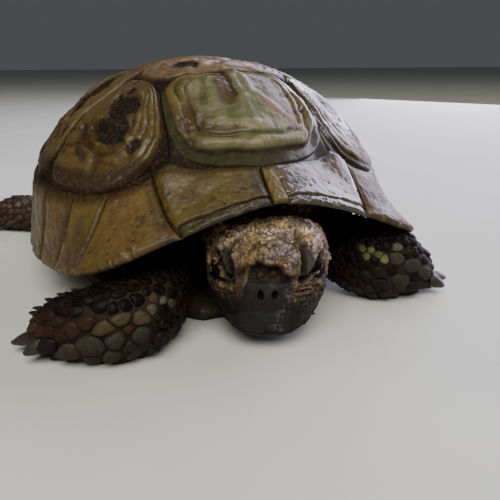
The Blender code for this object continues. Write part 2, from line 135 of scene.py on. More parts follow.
def bump(angle, centre, width, power=2):
    """A smooth hill of height 1 round a plan angle, the same on both sides."""
    return np.exp(-(np.abs((np.abs(angle) - centre) / width) ** power))


def ramp(value, start, end):
    """0 before start, 1 after end and a smooth rise between."""
    share = np.clip((value - start) / (end - start), 0, 1)
    return share * share * (3 - 2 * share)


def hashed(cell, seed):
    """A repeatable random number from 0 to 1 for each whole-numbered cell."""
    mixed = cell[..., 0] * 374761393 + cell[..., 1] * 668265263 + cell[..., 2] * 144066268
    mixed = mixed + seed * 974711
    mixed = (mixed ^ (mixed >> 13)) * 1274126177
    return ((mixed ^ (mixed >> 16)) & 0xFFFFFF) / 0xFFFFFF


def hills(points, size, seed=0):
    """Smooth random hills of about the given size, from -1 to 1."""
    place = points / size
    cell = np.floor(place).astype(np.int64)
    q = place - cell
    q = q * q * (3 - 2 * q)
    total = np.zeros(len(points))
    for corner in itertools.product((0, 1), repeat=3):
        weight = np.prod(np.where(corner, q, 1 - q), axis=-1)
        total += weight * hashed(cell + np.array(corner), seed)
    return 2 * total - 1


def rough(points, size, seed=0, octaves=3):
    """Random hills with finer hills on them."""
    return sum(hills(points, size / 2**k, seed + 31 * k) / 2**k for k in range(octaves))


def pebbles(points, size, seed=0):
    """How high a point lies on a bed of pebbles of the given size: 0 between them, 1 on top."""
    place = points / size
    cell = np.floor(place).astype(np.int64)
    near = np.full(len(points), 9.0)
    second = np.full(len(points), 9.0)
    for corner in itertools.product((-1, 0, 1), repeat=3):
        other = cell + np.array(corner)
        centre = other + np.stack([hashed(other, seed + k) for k in range(3)], -1)
        gap = np.linalg.norm(place - centre, axis=1)
        second = np.minimum(second, np.maximum(near, gap))
        near = np.minimum(near, gap)
    return ramp(second - near, 0.0, 0.45)


def path_distance(points, path):
    """Distance of each point from a line of straight stretches."""
    path = np.array(path, float)
    best = np.full(len(points), 1e9)
    for start, end in zip(path, path[1:]):
        run = end - start
        share = np.clip((points - start) @ run / (run @ run), 0, 1)
        best = np.minimum(best, np.linalg.norm(points - start - share[:, None] * run, axis=1))
    return best


def hill(away, width, power=2):
    """1 where away is 0, falling to nothing a little past the width."""
    return np.exp(-((away / width) ** power))


def mound(away, size):
    """The same for vectors away from a place."""
    return np.exp(-((away / size) ** 2).sum(1))


def unit(vectors):
    return vectors / np.linalg.norm(vectors, axis=-1, keepdims=True)


def plain(colour, count):
    return np.tile(colour, (count, 1))


def mix(base, colour, share):
    """Colours led towards another by a share for each point."""
    share = np.clip(share, 0, 1)[:, None]
    return base * (1 - share) + np.array(colour) * share


def paint(tint, *coats):
    """The tint with each colour laid over it by its share, one after the other."""
    for colour, share in coats:
        tint = mix(tint, colour, share)
    return tint


# ---------------------------------------------------------------- shell surface


def rim(angle):
    """Radius and height of the carapace's lower edge."""
    turn = np.radians(angle)
    across = np.abs(np.sin(turn)) / (SHELL_WIDTH / 2)
    along = np.abs(np.cos(turn)) / (SHELL_LENGTH / 2)
    radius = (across**RIM_POWER + along**RIM_POWER) ** (-1 / RIM_POWER)
    flare = FRONT_FLARE * bump(angle, 36, 13.5) + REAR_FLARE * bump(angle, 145, 25)
    radius = radius * (1 + flare - NUCHAL_NOTCH * bump(angle, 0, 9))
    height = RIM_HEIGHT + FRONT_ARCH * bump(angle, 0, 37.5)
    height = height + REAR_ARCH * bump(angle, 140, 25) - TAIL_DIP * bump(angle, 180, 20)
    return radius, height


def margin_top(angle):
    """Radius and height of the seam between the marginals and the dome."""
    share = 0.945 - 0.165 * bump(angle, 22, 25) - 0.10 * bump(angle, 180, 45)
    share = share - 0.04 * bump(angle, 40, 14)
    height = MARGIN_TOP + 8.9 * bump(angle, 0, 34, 4) - 4.0 * bump(angle, 180, 40)
    height = height + 3.0 * bump(angle, FIRST_CORNER, 4)
    return rim(angle)[0] * share, height


def polar(angle, radius, height):
    turn = np.radians(angle)
    return np.stack([radius * np.sin(turn), -radius * np.cos(turn), height], -1)


def dome_height(angle, radius):
    """Height of the dome over the plan point at this angle and radius."""
    edge, low = margin_top(angle)
    steepest = math.radians(DOME_ANGLE)
    slope = np.arcsin(np.clip(radius / edge, 0, 1) * math.sin(steepest))
    fall = (1 - np.cos(slope)) / (1 - math.cos(steepest))
    return SHELL_HEIGHT - (SHELL_HEIGHT - low) * fall**DOME_FULLNESS


def margin_surface(angle, down):
    """A point of the marginals' face: down runs from 0 at their top to 1 at the edge."""
    top_radius, top_height = margin_top(angle)
    edge_radius, edge_height = rim(angle)
    radius = top_radius + (edge_radius - top_radius) * down
    drop = down + 2 * EDGE_SWELL * down * (1 - down)
    return polar(angle, radius, top_height + (edge_height - top_height) * drop)


def outward(points):
    return unit(points - BODY_MIDDLE)


def facing(place, u, v):
    """Outward unit normals of a surface given by place(u, v)."""
    step = 1e-3
    along = place(u + step, v) - place(u - step, v)
    across = place(u, v + step) - place(u, v - step)
    normal = unit(np.cross(along, across))
    lean = np.sign((normal * outward(place(u, v))).sum(1).mean())
    return normal * lean


# ---------------------------------------------------------------- mesh helpers


def pick_nothing():
    if bpy.context.mode != "OBJECT":
        bpy.ops.object.mode_set(mode="OBJECT")
    bpy.ops.object.select_all(action="DESELECT")


def pick(obj):
    pick_nothing()
    obj.select_set(True)
    bpy.context.view_layer.objects.active = obj


@contextlib.contextmanager
def editing(obj, chosen=None):
    """Edit mode on a piece, with all of its points selected or only the chosen ones."""
    pick(obj)
    bpy.ops.object.mode_set(mode="EDIT")
    bpy.ops.mesh.select_mode(type="VERT")
    bpy.ops.mesh.select_all(action="SELECT" if chosen is None else "DESELECT")
    if chosen is not None:
        bpy.ops.object.mode_set(mode="OBJECT")
        obj.data.vertices.foreach_set("select", chosen)
        bpy.ops.object.mode_set(mode="EDIT")
    yield
    bpy.ops.object.mode_set(mode="OBJECT")


def face_outward():
    """In edit mode, turns every face of the piece outwards."""
    bpy.ops.mesh.select_all(action="SELECT")
    bpy.ops.mesh.normals_make_consistent(inside=False)


def weld(obj, fill=False):
    """Joins the points that fall together into one closed piece."""
    with editing(obj):
        bpy.ops.mesh.remove_doubles(threshold=WELD)
        if fill:
            bpy.ops.mesh.fill_holes(sides=0)
        face_outward()


def close_back(obj, shift, scale, centre):
    """Gives an open plate its edge walls and a back: its outline, shifted and drawn in to a centre."""
    with editing(obj):
        bpy.ops.mesh.select_all(action="DESELECT")
        bpy.ops.mesh.select_mode(type="EDGE")
        bpy.ops.mesh.select_non_manifold()
        bpy.ops.mesh.extrude_region_move(TRANSFORM_OT_translate={"value": (0, 0, shift)})
        bpy.ops.transform.resize(value=scale, center_override=centre)
        bpy.ops.mesh.edge_face_add()
        face_outward()


def read(items, name, width, kind=np.float32):
    """A property of all the vertices, faces or corners of a mesh, as an array."""
    flat = np.empty(len(items) * width, kind)
    items.foreach_get(name, flat)
    return flat.reshape(-1, width) if width > 1 else flat


def points_of(obj):
    return read(obj.data.vertices, "co", 3).astype(float) / MM


def put_points(obj, points):
    obj.data.vertices.foreach_set("co", (points * MM).astype(np.float32).ravel())
    obj.data.update()


def normals_of(obj):
    return read(obj.data.vertex_normals, "vector", 3).astype(float)


def new_mesh(name, points, faces):
    mesh = bpy.data.meshes.new(name)
    mesh.from_pydata((points * MM).tolist(), [], faces)
    obj = bpy.data.objects.new(name, mesh)
    bpy.context.scene.collection.objects.link(obj)
    return obj


def set_number(obj, name, values):
    """Stores a number for each point of the mesh, for its material to read."""
    attribute = obj.data.attributes.new(name, "FLOAT", "POINT")
    attribute.data.foreach_set("value", np.asarray(values, np.float32))


def set_tint(obj, colours):
    attribute = obj.data.attributes.new("tint", "FLOAT_COLOR", "POINT")
    rgba = np.concatenate([np.clip(colours, 0, 1), np.ones((len(colours), 1))], axis=1)
    attribute.data.foreach_set("color", rgba.astype(np.float32).ravel())


def apply(obj, kind, **settings):
    """Adds a modifier to the piece and applies it."""
    pick(obj)
    modifier = obj.modifiers.new(kind.lower(), kind)
    for key, value in settings.items():
        setattr(modifier, key, value)
    bpy.ops.object.modifier_apply(modifier=modifier.name)


def unit_grid(name, columns, rows):
    """A grid primitive and the two shares, 0 to 1, of each of its points."""
    pick_nothing()
    bpy.ops.mesh.primitive_grid_add(x_subdivisions=columns, y_subdivisions=rows, size=1)
    obj = bpy.context.object
    obj.name = name
    unit = points_of(obj)[:, :2] * MM + 0.5
    return obj, unit[:, 0], unit[:, 1]


def place_piece(obj, slot, material, *nodes):
    """Gives a finished piece its material and its body, and hides the CAD nodes that it stands for."""
    obj.data.materials.clear()
    obj.data.materials.append(material)
    pick(obj)
    bpy.ops.object.shade_smooth()
    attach(obj, BODY)
    if nodes:
        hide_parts(*nodes)
    return obj


# ---------------------------------------------------------------- materials


class Shader:
    """A Principled material and short ways to add nodes to it."""

    def __init__(self, name, **values):
        self.material = bpy.data.materials.new(name)
        self.material.use_nodes = True
        self.tree = self.material.node_tree
        self.skin = self.tree.nodes["Principled BSDF"]
        self.place = self.tree.nodes.new("ShaderNodeTexCoord").outputs["Object"]
        self.fill(self.skin, values)

    def fill(self, node, values):
        """Sets inputs of a node, by name or number, to a number, a colour or a node's output."""
        for key, value in values.items():
            socket = node.inputs[key.replace("_", " ") if isinstance(key, str) else key]
            if isinstance(value, tuple):
                socket.default_value = (*value, 1)
            elif isinstance(value, (int, float)):
                socket.default_value = value
            else:
                self.tree.links.new(value, socket)

    def add(self, kind, output, values, **settings):
        node = self.tree.nodes.new(f"ShaderNode{kind}")
        for key, value in settings.items():
            setattr(node, key, value)
        self.fill(node, values)
        return node.outputs[output]

    def noise(self, size, detail=4.0, distortion=0.0):
        values = {"Scale": 1 / (size * MM), "Detail": detail, "Distortion": distortion}
        return self.add("TexNoise", "Fac", {**values, "Vector": self.place})

    def cells(self, size):
        return self.add("TexVoronoi", "Distance", {"Scale": 1 / (size * MM), "Vector": self.place})

    def attribute(self, name, output="Fac"):
        return self.add("Attribute", output, {}, attribute_name=name)

    def range(self, source, low, high, to_low=0.0, to_high=1.0):
        values = {"From_Min": low, "From_Max": high, "To_Min": to_low, "To_Max": to_high}
        return self.add("MapRange", "Result", {**values, "Value": source})

    def math(self, operation, first, second):
        return self.add("Math", "Value", {0: first, 1: second}, operation=operation)

    def blend(self, share, first, second):
        return self.add("Mix", 2, {0: share, 6: first, 7: second}, data_type="RGBA")

    def bump(self, height, distance, strength=1.0, under=None):
        values = {"Strength": strength, "Distance": distance * MM, "Height": height}
        if under is not None:
            values["Normal"] = under
        return self.add("Bump", "Normal", values)

    def finish(self, colour, roughness, normal):
        self.fill(self.skin, {"Base Color": colour, "Roughness": roughness, "Normal": normal})
        return self.material


def horn_plate_material(name, gloss, speck):
    """Worn glossy horn: the plate's own tint, streaked, specked and finely ridged."""
    shader = Shader(name, Coat_Roughness=0.24 if gloss > 0.6 else 0.34)
    tint = shader.attribute("tint", "Color")
    ring = shader.attribute("ring")
    worn = shader.attribute("dull")
    coat_weight = shader.range(worn, 0.0, 1.0, gloss, 0.0)
    shine = shader.range(worn, 0.0, 1.0, 0.28, 0.04)
    shader.fill(shader.skin, {"Coat_Weight": coat_weight, "Specular_IOR_Level": shine})
    streak = shader.noise(5.0, 6, 0.8)
    grain = shader.noise(1.1, 5, 0.4)
    colour = shader.blend(shader.range(streak, 0.35, 0.72, 0, 0.55), tint, PLUM)
    colour = shader.blend(shader.range(grain, 0.52, 0.75, 0, 0.35), colour, YELLOW_OLIVE)
    specks = shader.range(shader.cells(0.9), 0.0, 0.28, speck, 0)
    specks = shader.math("MULTIPLY", specks, shader.range(streak, 0.42, 0.6))
    colour = shader.blend(specks, colour, CREAM)
    lines = shader.math("SINE", shader.math("MULTIPLY", ring, 58.0), 0.0)
    wobble = shader.math("ADD", shader.math("MULTIPLY", lines, 0.22), grain)
    colour = shader.blend(shader.range(wobble, 0.2, -0.1, 0, 0.25), colour, UMBER)
    fine = shader.bump(wobble, 0.10, 0.5)
    pits = shader.bump(shader.range(shader.cells(0.8), 0.0, 0.35), 0.06, 0.4, fine)
    broad = shader.bump(streak, 0.35, 0.5, pits)
    return shader.finish(colour, shader.range(grain, 0.3, 0.7, 0.42, 0.62), broad)


def hide_material(name, wet=0.0, shine=0.18):
    """Dry hide: its own tint with dust in the grain and small wrinkles."""
    shader = Shader(name, Coat_Weight=wet, Coat_Roughness=0.24, Specular_IOR_Level=shine)
    tint = shader.attribute("tint", "Color")
    grain = shader.noise(0.8, 6, 0.5)
    patch = shader.noise(3.2, 4, 0.6)
    colour = shader.blend(shader.range(patch, 0.45, 0.7, 0, 0.5), tint, HIDE_BROWN)
    dust = shader.math("MULTIPLY", shader.range(grain, 0.52, 0.70, 0, 0.5), shader.attribute("dust"))
    colour = shader.blend(dust, colour, CREAM)
    grit = shader.noise(0.45, 4, 0.8)
    colour = shader.blend(shader.range(grit, 0.50, 0.36, 0, 0.6), colour, NEAR_BLACK)
    low = shader.bump(grit, 0.12, 0.7)
    normal = shader.bump(grain, 0.18, 0.6, low)
    return shader.finish(colour, shader.range(grain, 0.3, 0.7, 0.5, 0.8), normal)


def horn_material(name, roughness, grey=0.35, gloss=0.15):
    """Dark horn of beak and claws, finely scratched along its grain."""
    shader = Shader(name, Coat_Weight=gloss, Coat_Roughness=0.3, Specular_IOR_Level=0.25)
    tint = shader.attribute("tint", "Color")
    grain = shader.noise(1.2, 5, 0.6)
    fine = shader.noise(0.4, 4, 0.5)
    colour = shader.blend(shader.range(grain, 0.5, 0.75, 0, grey), tint, SCALE_GREY)
    colour = shader.blend(shader.range(fine, 0.45, 0.35, 0, 0.5), colour, NEAR_BLACK)
    normal = shader.bump(fine, 0.06, 0.5, shader.bump(grain, 0.15, 0.5))
    rough_share = shader.range(grain, 0.3, 0.7, roughness - 0.1, roughness + 0.15)
    return shader.finish(colour, rough_share, normal)


DOME_HORN = horn_plate_material("glossy dome horn", 0.32, 0.3)
EDGE_HORN = horn_plate_material("glossy edge horn", 0.14, 0.4)
FLANK_HORN = horn_plate_material("glaring flank horn", 1.0, 0.2)
BELLY_HORN = horn_plate_material("worn belly horn", 0.15, 0.3)
HIDE = hide_material("dry hide")
SCALE = hide_material("scale horn", 0.12)
ARM_SCALE = hide_material("forelimb scale horn", 0.05, 0.06)
BEAK_HORN = horn_material("beak horn", 0.65, 0.06, 0.02)
CLAW_HORN = horn_material("claw horn", 0.5)


# ---------------------------------------------------------------- dome plates

# How each kind of dome plate has worn, and where light and shade are painted on it. middle: centre of
# growth; flat: ring share of the worn middle's edge; ridges: growth ridges round it; channel: where the
# seam channel begins; sill: how much sooner it begins in front; rise and crest: height of the middle and
# of the ridges; keen: how sharp they stay; size: width and length; ground, band and edge: colours of the
# middle, the channel and one side; blots and folds: places (u, v, size across, size along), the folds'
# creases getting painted shade; marks: strokes (corners, width, rise, colour, strength), the front
# plate's first stroke being a painted highlight
WORN_FRONT = {
    "middle": (0.5, 0.56), "flat": 0.66, "ridges": 2.0, "channel": 0.93, "sill": 0.07,
    "rise": 1.3, "crest": 0.95, "keen": 2.0, "size": (44, 34),
    "ground": GREY_OLIVE, "band": MOSS, "edge": YELLOW_OLIVE,
    "blots": (), "folds": (0.2, 0.2, 0.2, 0.2),
    "marks": (
        # painted highlight: a pale lilac streak of glare down the raised ridge on the plate's right side
        (((0.56, 1.0), (0.57, 0.58), (0.66, 0.42), (0.82, 0.18)), 1.0, 0.6, PAINTED_GLARE, 0.7),
        (((0.42, 1.0), (0.40, 0.48)), 2.3, -0.4, UMBER, 0.8),
        (((0.46, 0.97), (0.45, 0.55)), 1.1, -0.4, PLUM, 0.85),
        (((0.77, 0.57), (0.85, 0.59)), 0.9, -0.4, PLUM, 0.9),
        (((0.82, 0.38), (0.90, 0.40)), 0.9, -0.4, PLUM, 0.9),
        (((0.14, 0.42), (0.20, 0.24), (0.36, 0.22)), 2.4, -0.3, UMBER, 0.7),
        (((0.64, 0.5), (0.72, 0.32)), 2.2, -0.3, ROSE_BROWN, 0.5),
        (((0.30, 0.30), (0.55, 0.24)), 1.4, 0.5, CREAM, 0.3),
        (((0.26, 0.5), (0.30, 0.85)), 1.2, -0.25, MOSS, 0.5),
    ),
}
WORN_SIDE = {
    "middle": (0.45, 0.58), "flat": 0.60, "ridges": 2.6, "channel": 0.93, "sill": 0.0,
    "rise": 0.5, "crest": 0.6, "keen": 0.0, "size": (48, 40),
    "ground": OLIVE, "band": PLUM, "edge": OCHRE,
    "blots": (
        (0.07, 0.68, 0.04, 0.09), (0.20, 0.56, 0.05, 0.08), (0.38, 0.48, 0.13, 0.22),
        (0.58, 0.50, 0.13, 0.21), (0.30, 0.66, 0.06, 0.08), (0.74, 0.22, 0.05, 0.06),
        (0.98, 0.06, 0.06, 0.1),
    ),
    "folds": (0.72, 0.60, 0.20, 0.42),
    "marks": (
        (((0.93, 0.0), (0.95, 0.5), (0.93, 1.0)), 3.0, -0.2, PLUM, 0.85),
        (((0.50, 0.76), (0.54, 0.60), (0.52, 0.46)), 1.2, 0.5, OCHRE, 0.6),
        (((0.60, 0.86), (0.66, 0.78)), 1.8, -0.7, PLUM, 0.85),
        (((0.58, 0.70), (0.62, 0.60)), 1.5, -0.7, PLUM, 0.85),
        (((0.62, 0.52), (0.70, 0.44)), 1.5, -0.7, PLUM, 0.85),
        (((0.68, 0.64), (0.74, 0.52), (0.72, 0.36)), 1.3, 0.6, OLIVE, 0.7),
        (((0.76, 0.74), (0.80, 0.62)), 1.5, -0.6, PLUM, 0.8),
        (((0.42, 0.30), (0.56, 0.28)), 1.0, -0.4, UMBER, 0.8),
    ),
}
WORN_TOP = {
    "middle": (0.5, 0.5), "flat": 0.62, "ridges": 2.4, "channel": 0.92, "sill": 0.0,
    "rise": 0.6, "crest": 0.6, "keen": 2.0, "size": (40, 26),
    "ground": ROSE_BROWN, "band": PLUM, "edge": UMBER,
    "blots": ((0.3, 0.4, 0.1, 0.2), (0.7, 0.6, 0.12, 0.12)), "folds": (0.5, 0.5, 0.3, 0.3), "marks": (),
}
WORN_FLANK = {
    "middle": (0.45, 0.5), "flat": 0.55, "ridges": 3.0, "channel": 0.93, "sill": 0.0,
    "rise": 0.5, "crest": 0.5, "keen": 0.35, "size": (48, 30),
    "ground": UMBER, "band": PLUM, "edge": UMBER,
    "blots": ((0.45, 0.5, 0.15, 0.2),), "folds": (0.6, 0.5, 0.3, 0.3), "marks": (),
}


def line(*corners):
    """An edge through two or three plan corners, the middle one at its half."""
    corners = np.array(corners, float)
    knots = np.linspace(0, 1, len(corners))
    return lambda q: np.stack([np.interp(q, knots, corners[:, k]) for k in (0, 1)], -1)


def margin_line(first, last):
    """An edge along the top of the marginals between two plan angles."""

    def place(q):
        angle = first + (last - first) * q
        return polar(angle, margin_top(angle)[0], 0 * angle)[..., :2]

    return place


def patch(front, rear, left, right):
    """The dome's surface inside four plan edges, as a function of two shares."""

    def place(u, v):
        cu, cv = u[:, None], v[:, None]
        corners = (1 - cu) * (1 - cv) * front(0.0) + cu * (1 - cv) * front(1.0)
        corners = corners + (1 - cu) * cv * rear(0.0) + cu * cv * rear(1.0)
        across = (1 - cv) * front(u) + cv * rear(u)
        plan = across + (1 - cu) * left(v) + cu * right(v) - corners
        angle = np.degrees(np.arctan2(plan[:, 0], -plan[:, 1]))
        height = dome_height(angle, np.hypot(plan[:, 0], plan[:, 1]))
        return np.stack([plan[:, 0], plan[:, 1], height], -1)

    return place


def growth(u, v, middle):
    """Ring share of a plate's point: 0 at its centre of growth, 1 all along its edge."""
    across = np.where(u > middle[0], (u - middle[0]) / (1 - middle[0]), (middle[0] - u) / middle[0])
    along = np.where(v > middle[1], (v - middle[1]) / (1 - middle[1]), (middle[1] - v) / middle[1])
    return (across**CORNER_POWER + along**CORNER_POWER) ** (1 / CORNER_POWER)


def terraces(value, steps, slope):
    """A rising value turned into flat steps with short slopes between."""
    whole = np.floor(value * steps)
    return (whole + ramp(value * steps - whole, 1 - slope, 1)) / steps


def spot(u, v, place):
    """A soft round mark on a plate, 1 at its middle."""
    cu, cv, du, dv = place
    return np.exp(-(((u - cu) / du) ** 2) - ((v - cv) / dv) ** 2)


def dome_relief(points, u, v, wear, seed):
    """Height over the smooth dome, the tint and the ring share at each point of a plate."""
    edge = growth(u, v, wear["middle"])
    ring = edge + 0.030 * rough(points, 10, seed) + 0.010 * hills(points, 2.5, seed)
    low = ramp(-v, -0.32, -0.12) * (wear["sill"] > 0)
    flat, channel = wear["flat"] + 0.02 * low, wear["channel"] - wear["sill"] * low
    table = 1 - ramp(ring, flat - 0.03, flat + 0.04)
    phase = np.clip((ring - flat) / (channel - flat), 0, 1)
    keen = np.clip(wear["keen"] + 1 - ramp(v, 0.14, 0.30), 0.25, 1)
    keen = keen * (0.5 + 0.5 * ramp(hills(points, 12, seed), -0.5, 0.4))
    ridge = np.abs(np.sin(math.pi * (wear["ridges"] - low) * phase)) ** 0.8
    ridge = ridge * ramp(ring, flat, flat + 0.04) * keen
    trench = ramp(ring, channel - 0.01, channel + 0.03)
    seam = ramp(edge, 0.985, 1.0)
    worn = rough(points, 5.5, seed + 3, 4)
    loss = np.zeros(len(u))
    for place in wear["blots"]:
        loss = np.maximum(loss, spot(u, v, place))
    loss = terraces(np.clip(loss * 1.7 + 0.36 * worn - 0.30, 0, 1), 4, 0.3)
    peeling = rough(points, 9, seed + 6, 4)
    flakes = terraces(np.clip(0.5 + 0.5 * peeling, 0, 1), 5, 0.35)
    folded = 1 - np.abs(rough(points * (1, 1, 1.8), 8, seed + 9, 2))
    crease = spot(u, v, wear["folds"]) * ramp(folded, 0.6, 0.95)
    height = wear["rise"] * table + wear["crest"] * (1 + 0.5 * low) * ridge * (1 - trench)
    height -= (0.5 + 0.8 * low) * trench + 0.75 * seam
    height += (0.45 * hills(points, 9, seed + 5) + 0.5 * flakes - 0.25 - 0.95 * crease) * (1 - seam)
    height += 0.06 * rough(points, 1.3, seed + 2) * (1 - seam) - 0.9 * loss
    tint = paint(
        plain(wear["ground"], len(u)),
        (UMBER, ramp(rough(points, 10, seed + 7), 0.0, 0.8) * 0.7),
        (CREAM, 0.15 * table * ramp(rough(points, 8, seed + 8), 0, 0.8)),
        (wear["edge"], ramp(u, 0.62, 0.86) * (1 - table) * 0.9),
        (OLIVE, 0.6 * (1 - table) * (1 - trench) * (1 - low)),
        (YELLOW_OLIVE, 0.8 * ridge * (1 - trench) * (1 - 0.6 * low)),
        (PLUM, 0.9 * ramp(keen - ridge, 0.40, 0.85) * (1 - table) * (1 - trench)),
        (PLUM, 0.35 * ramp(flakes - 0.5 - 0.5 * peeling, 0.02, 0.09)),
        # painted shade: the creases of the folds darkened with plum
        (PLUM, 0.85 * crease),
        (CREAM, 0.22 * low * ridge * (1 - trench)),
        (wear["band"], 0.92 * trench),
        (PLUM, ramp(loss, 0.05, 0.5) * 0.9),
    )
    width_of, length_of = wear["size"]
    flat_place = np.stack([u * width_of, v * length_of, 0 * u], -1)
    flat_place += 0.7 * np.stack([hills(points, 4, seed + 1), hills(points, 4, seed + 4), 0 * u], -1)
    for path, width, rise, colour, strength in wear["marks"]:
        corners = [(cu * width_of, cv * length_of, 0) for cu, cv in path]
        stroke = hill(path_distance(flat_place, corners), width)
        height += rise * stroke * (1 - seam)
        tint = mix(tint, colour, strength * ramp(stroke + 0.2 * worn, 0.15, 0.7))
    tint = mix(tint, NEAR_BLACK, np.maximum(ramp(loss, 0.25, 0.6) * 0.92, 0.85 * seam))
    dull = np.maximum.reduce([trench, seam, crease, 0.7 * ramp(loss, 0.1, 0.5)])
    return height, tint, ring, dull * (1 - (wear["sill"] > 0) * 0.85 * ramp(u, 0.6, 0.85))


def dome_plate(node, place, fineness, wear, seed):
    glaring = "left" in node or wear is WORN_FRONT
    obj, u, v = unit_grid(f"{node}_horn", fineness, fineness)
    base = place(u, v)
    height, tint, ring, dull = dome_relief(base, u, v, wear, seed)
    if "left" in node:
        dull = np.maximum(0.25 * dull, 0.92 * ramp(u + 0.3 * v, 0.72, 1.0))
    if wear is WORN_FRONT:
        dull = np.maximum(dull, 0.78 * (1 - ramp(u, 0.78, 0.92)))
    put_points(obj, base + facing(place, u, v) * height[:, None])
    set_tint(obj, tint)
    set_number(obj, "ring", ring)
    set_number(obj, "dull", dull)
    close_back(obj, 0, (PLATE_DEPTH,) * 3, tuple(BODY_MIDDLE * MM))
    place_piece(obj, "shell_dome", FLANK_HORN if glaring else DOME_HORN, node)


def pair(corner):
    return (-corner[0], corner[1]), corner


def vertebral_plates():
    cross = [line(*pair(corner)) for corner in CROSS_SEAMS]
    first = margin_line(-FIRST_CORNER, FIRST_CORNER)
    last = margin_line(-LAST_CORNER, -360 + LAST_CORNER)
    for i, (front, rear) in enumerate(zip([first, *cross], [*cross, last])):
        middle = [pair(SIDE_POINTS[i - 1])] if 0 < i < 4 else []
        sides = [line(front(float(k)), *[p[k] for p in middle], rear(float(k))) for k in (0, 1)]
        wear = WORN_FRONT if i == 0 else WORN_TOP
        fineness = 150 if i == 0 else 90
        dome_plate(f"vertebral_{i + 1}", patch(front, rear, *sides), fineness, wear, 11 * i)


def costal_plates(side, suffix):
    """The four costals of one side, +1 for the left."""

    def at(corner):
        return side * corner[0], corner[1]

    ends = [margin_line(0, side * angle)(1.0) for angle in COSTAL_ENDS]
    inner = [
        line(at(CROSS_SEAMS[0]), at(SIDE_POINTS[0])),
        line(at(SIDE_POINTS[0]), at(CROSS_SEAMS[1]), at(SIDE_POINTS[1])),
        line(at(SIDE_POINTS[1]), at(CROSS_SEAMS[2]), at(SIDE_POINTS[2])),
        line(at(SIDE_POINTS[2]), at(CROSS_SEAMS[3])),
    ]
    for i, edge in enumerate(inner):
        outer = margin_line(side * COSTAL_ENDS[i], side * COSTAL_ENDS[i + 1])
        place = patch(line(edge(0.0), ends[i]), line(edge(1.0), ends[i + 1]), edge, outer)
        wear = WORN_SIDE if side < 0 else WORN_FLANK
        fineness = 140 if i == 0 else 90
        dome_plate(f"costal_{i + 1}_{suffix}", place, fineness, wear, 50 + 7 * i + side)


# ---------------------------------------------------------------- marginal plates

LIP = 0.9  # radius of the shell's rounded lower edge
WALL = 3.2  # thickness of a marginal at its top
FACE_END, LIP_END, BACK_END = 0.60, 0.68, 0.94  # stretches of a marginal's closed outline


def marginal_relief(points, u, down, seed, cracked):
    """Height, tint and ring share on a marginal's outer face."""
    side = 1 - np.abs(2 * u - 1)
    ring = 0.7 * (1 - down) + 0.6 * np.abs(u - 0.5) + 0.03 * rough(points, 6, seed)
    seam = np.maximum(ramp(1 - side, 0.94, 1.0), ramp(-down, -0.05, 0.0))
    shoulder = np.maximum(ramp(1 - side, 0.84, 0.94), ramp(-down, -0.16, -0.06))
    ridge = np.abs(np.sin(ring * 14 + 0.6 * hills(points, 5, seed)))
    height = 0.5 * (1 - (2 * u - 1) ** 4) * down - 0.75 * seam - 0.25 * shoulder
    height += 0.16 * ridge * (1 - shoulder) + 0.22 * rough(points, 6, seed + 1) * (1 - seam)
    height += 0.07 * rough(points, 1.2, seed + 2)
    chips = ramp(rough(points, 1.8, seed + 4), 0.3, 0.6) * ramp(down, 0.90, 0.97)
    height -= 0.45 * chips
    pits = ramp(rough(points, 1.5, seed + 3), 0.25, 0.7)
    pits = pits * ramp(down + 0.25 * hills(points, 6, seed), 0.2, 0.5)
    height -= 0.14 * pits
    tint = paint(
        plain(YELLOW_OLIVE, len(u)),
        (OCHRE, np.full(len(u), 0.8 if seed % 2 else 0.35)),
        (UMBER, ramp(rough(points, 9, seed + 5), 0.0, 0.8) * 0.6),
        (PLUM, 0.8 * ramp(-down, -0.17, -0.04)),
        (MOSS if cracked else UMBER, 0.7 * ramp(u, 0.82, 0.90)),
        (PLUM, 0.65 * pits),
        (CREAM, 0.35 * chips),
        (NEAR_BLACK, 0.8 * seam),
    )
    if cracked:
        wander = 0.83 + 0.035 * rough(points, 4, seed + 6, 4)
        crack = hill(down - wander, 0.026, 4) * (1 - seam)
        below = ramp(down, wander, wander + 0.02)
        height -= 1.1 * crack + 0.5 * below
        tint = paint(tint, (MOSS, 0.75 * below), (NEAR_BLACK, 0.95 * crack))
        seam = np.maximum(seam, crack)
    return height, tint, ring, np.maximum(seam, 0.8 * shoulder)


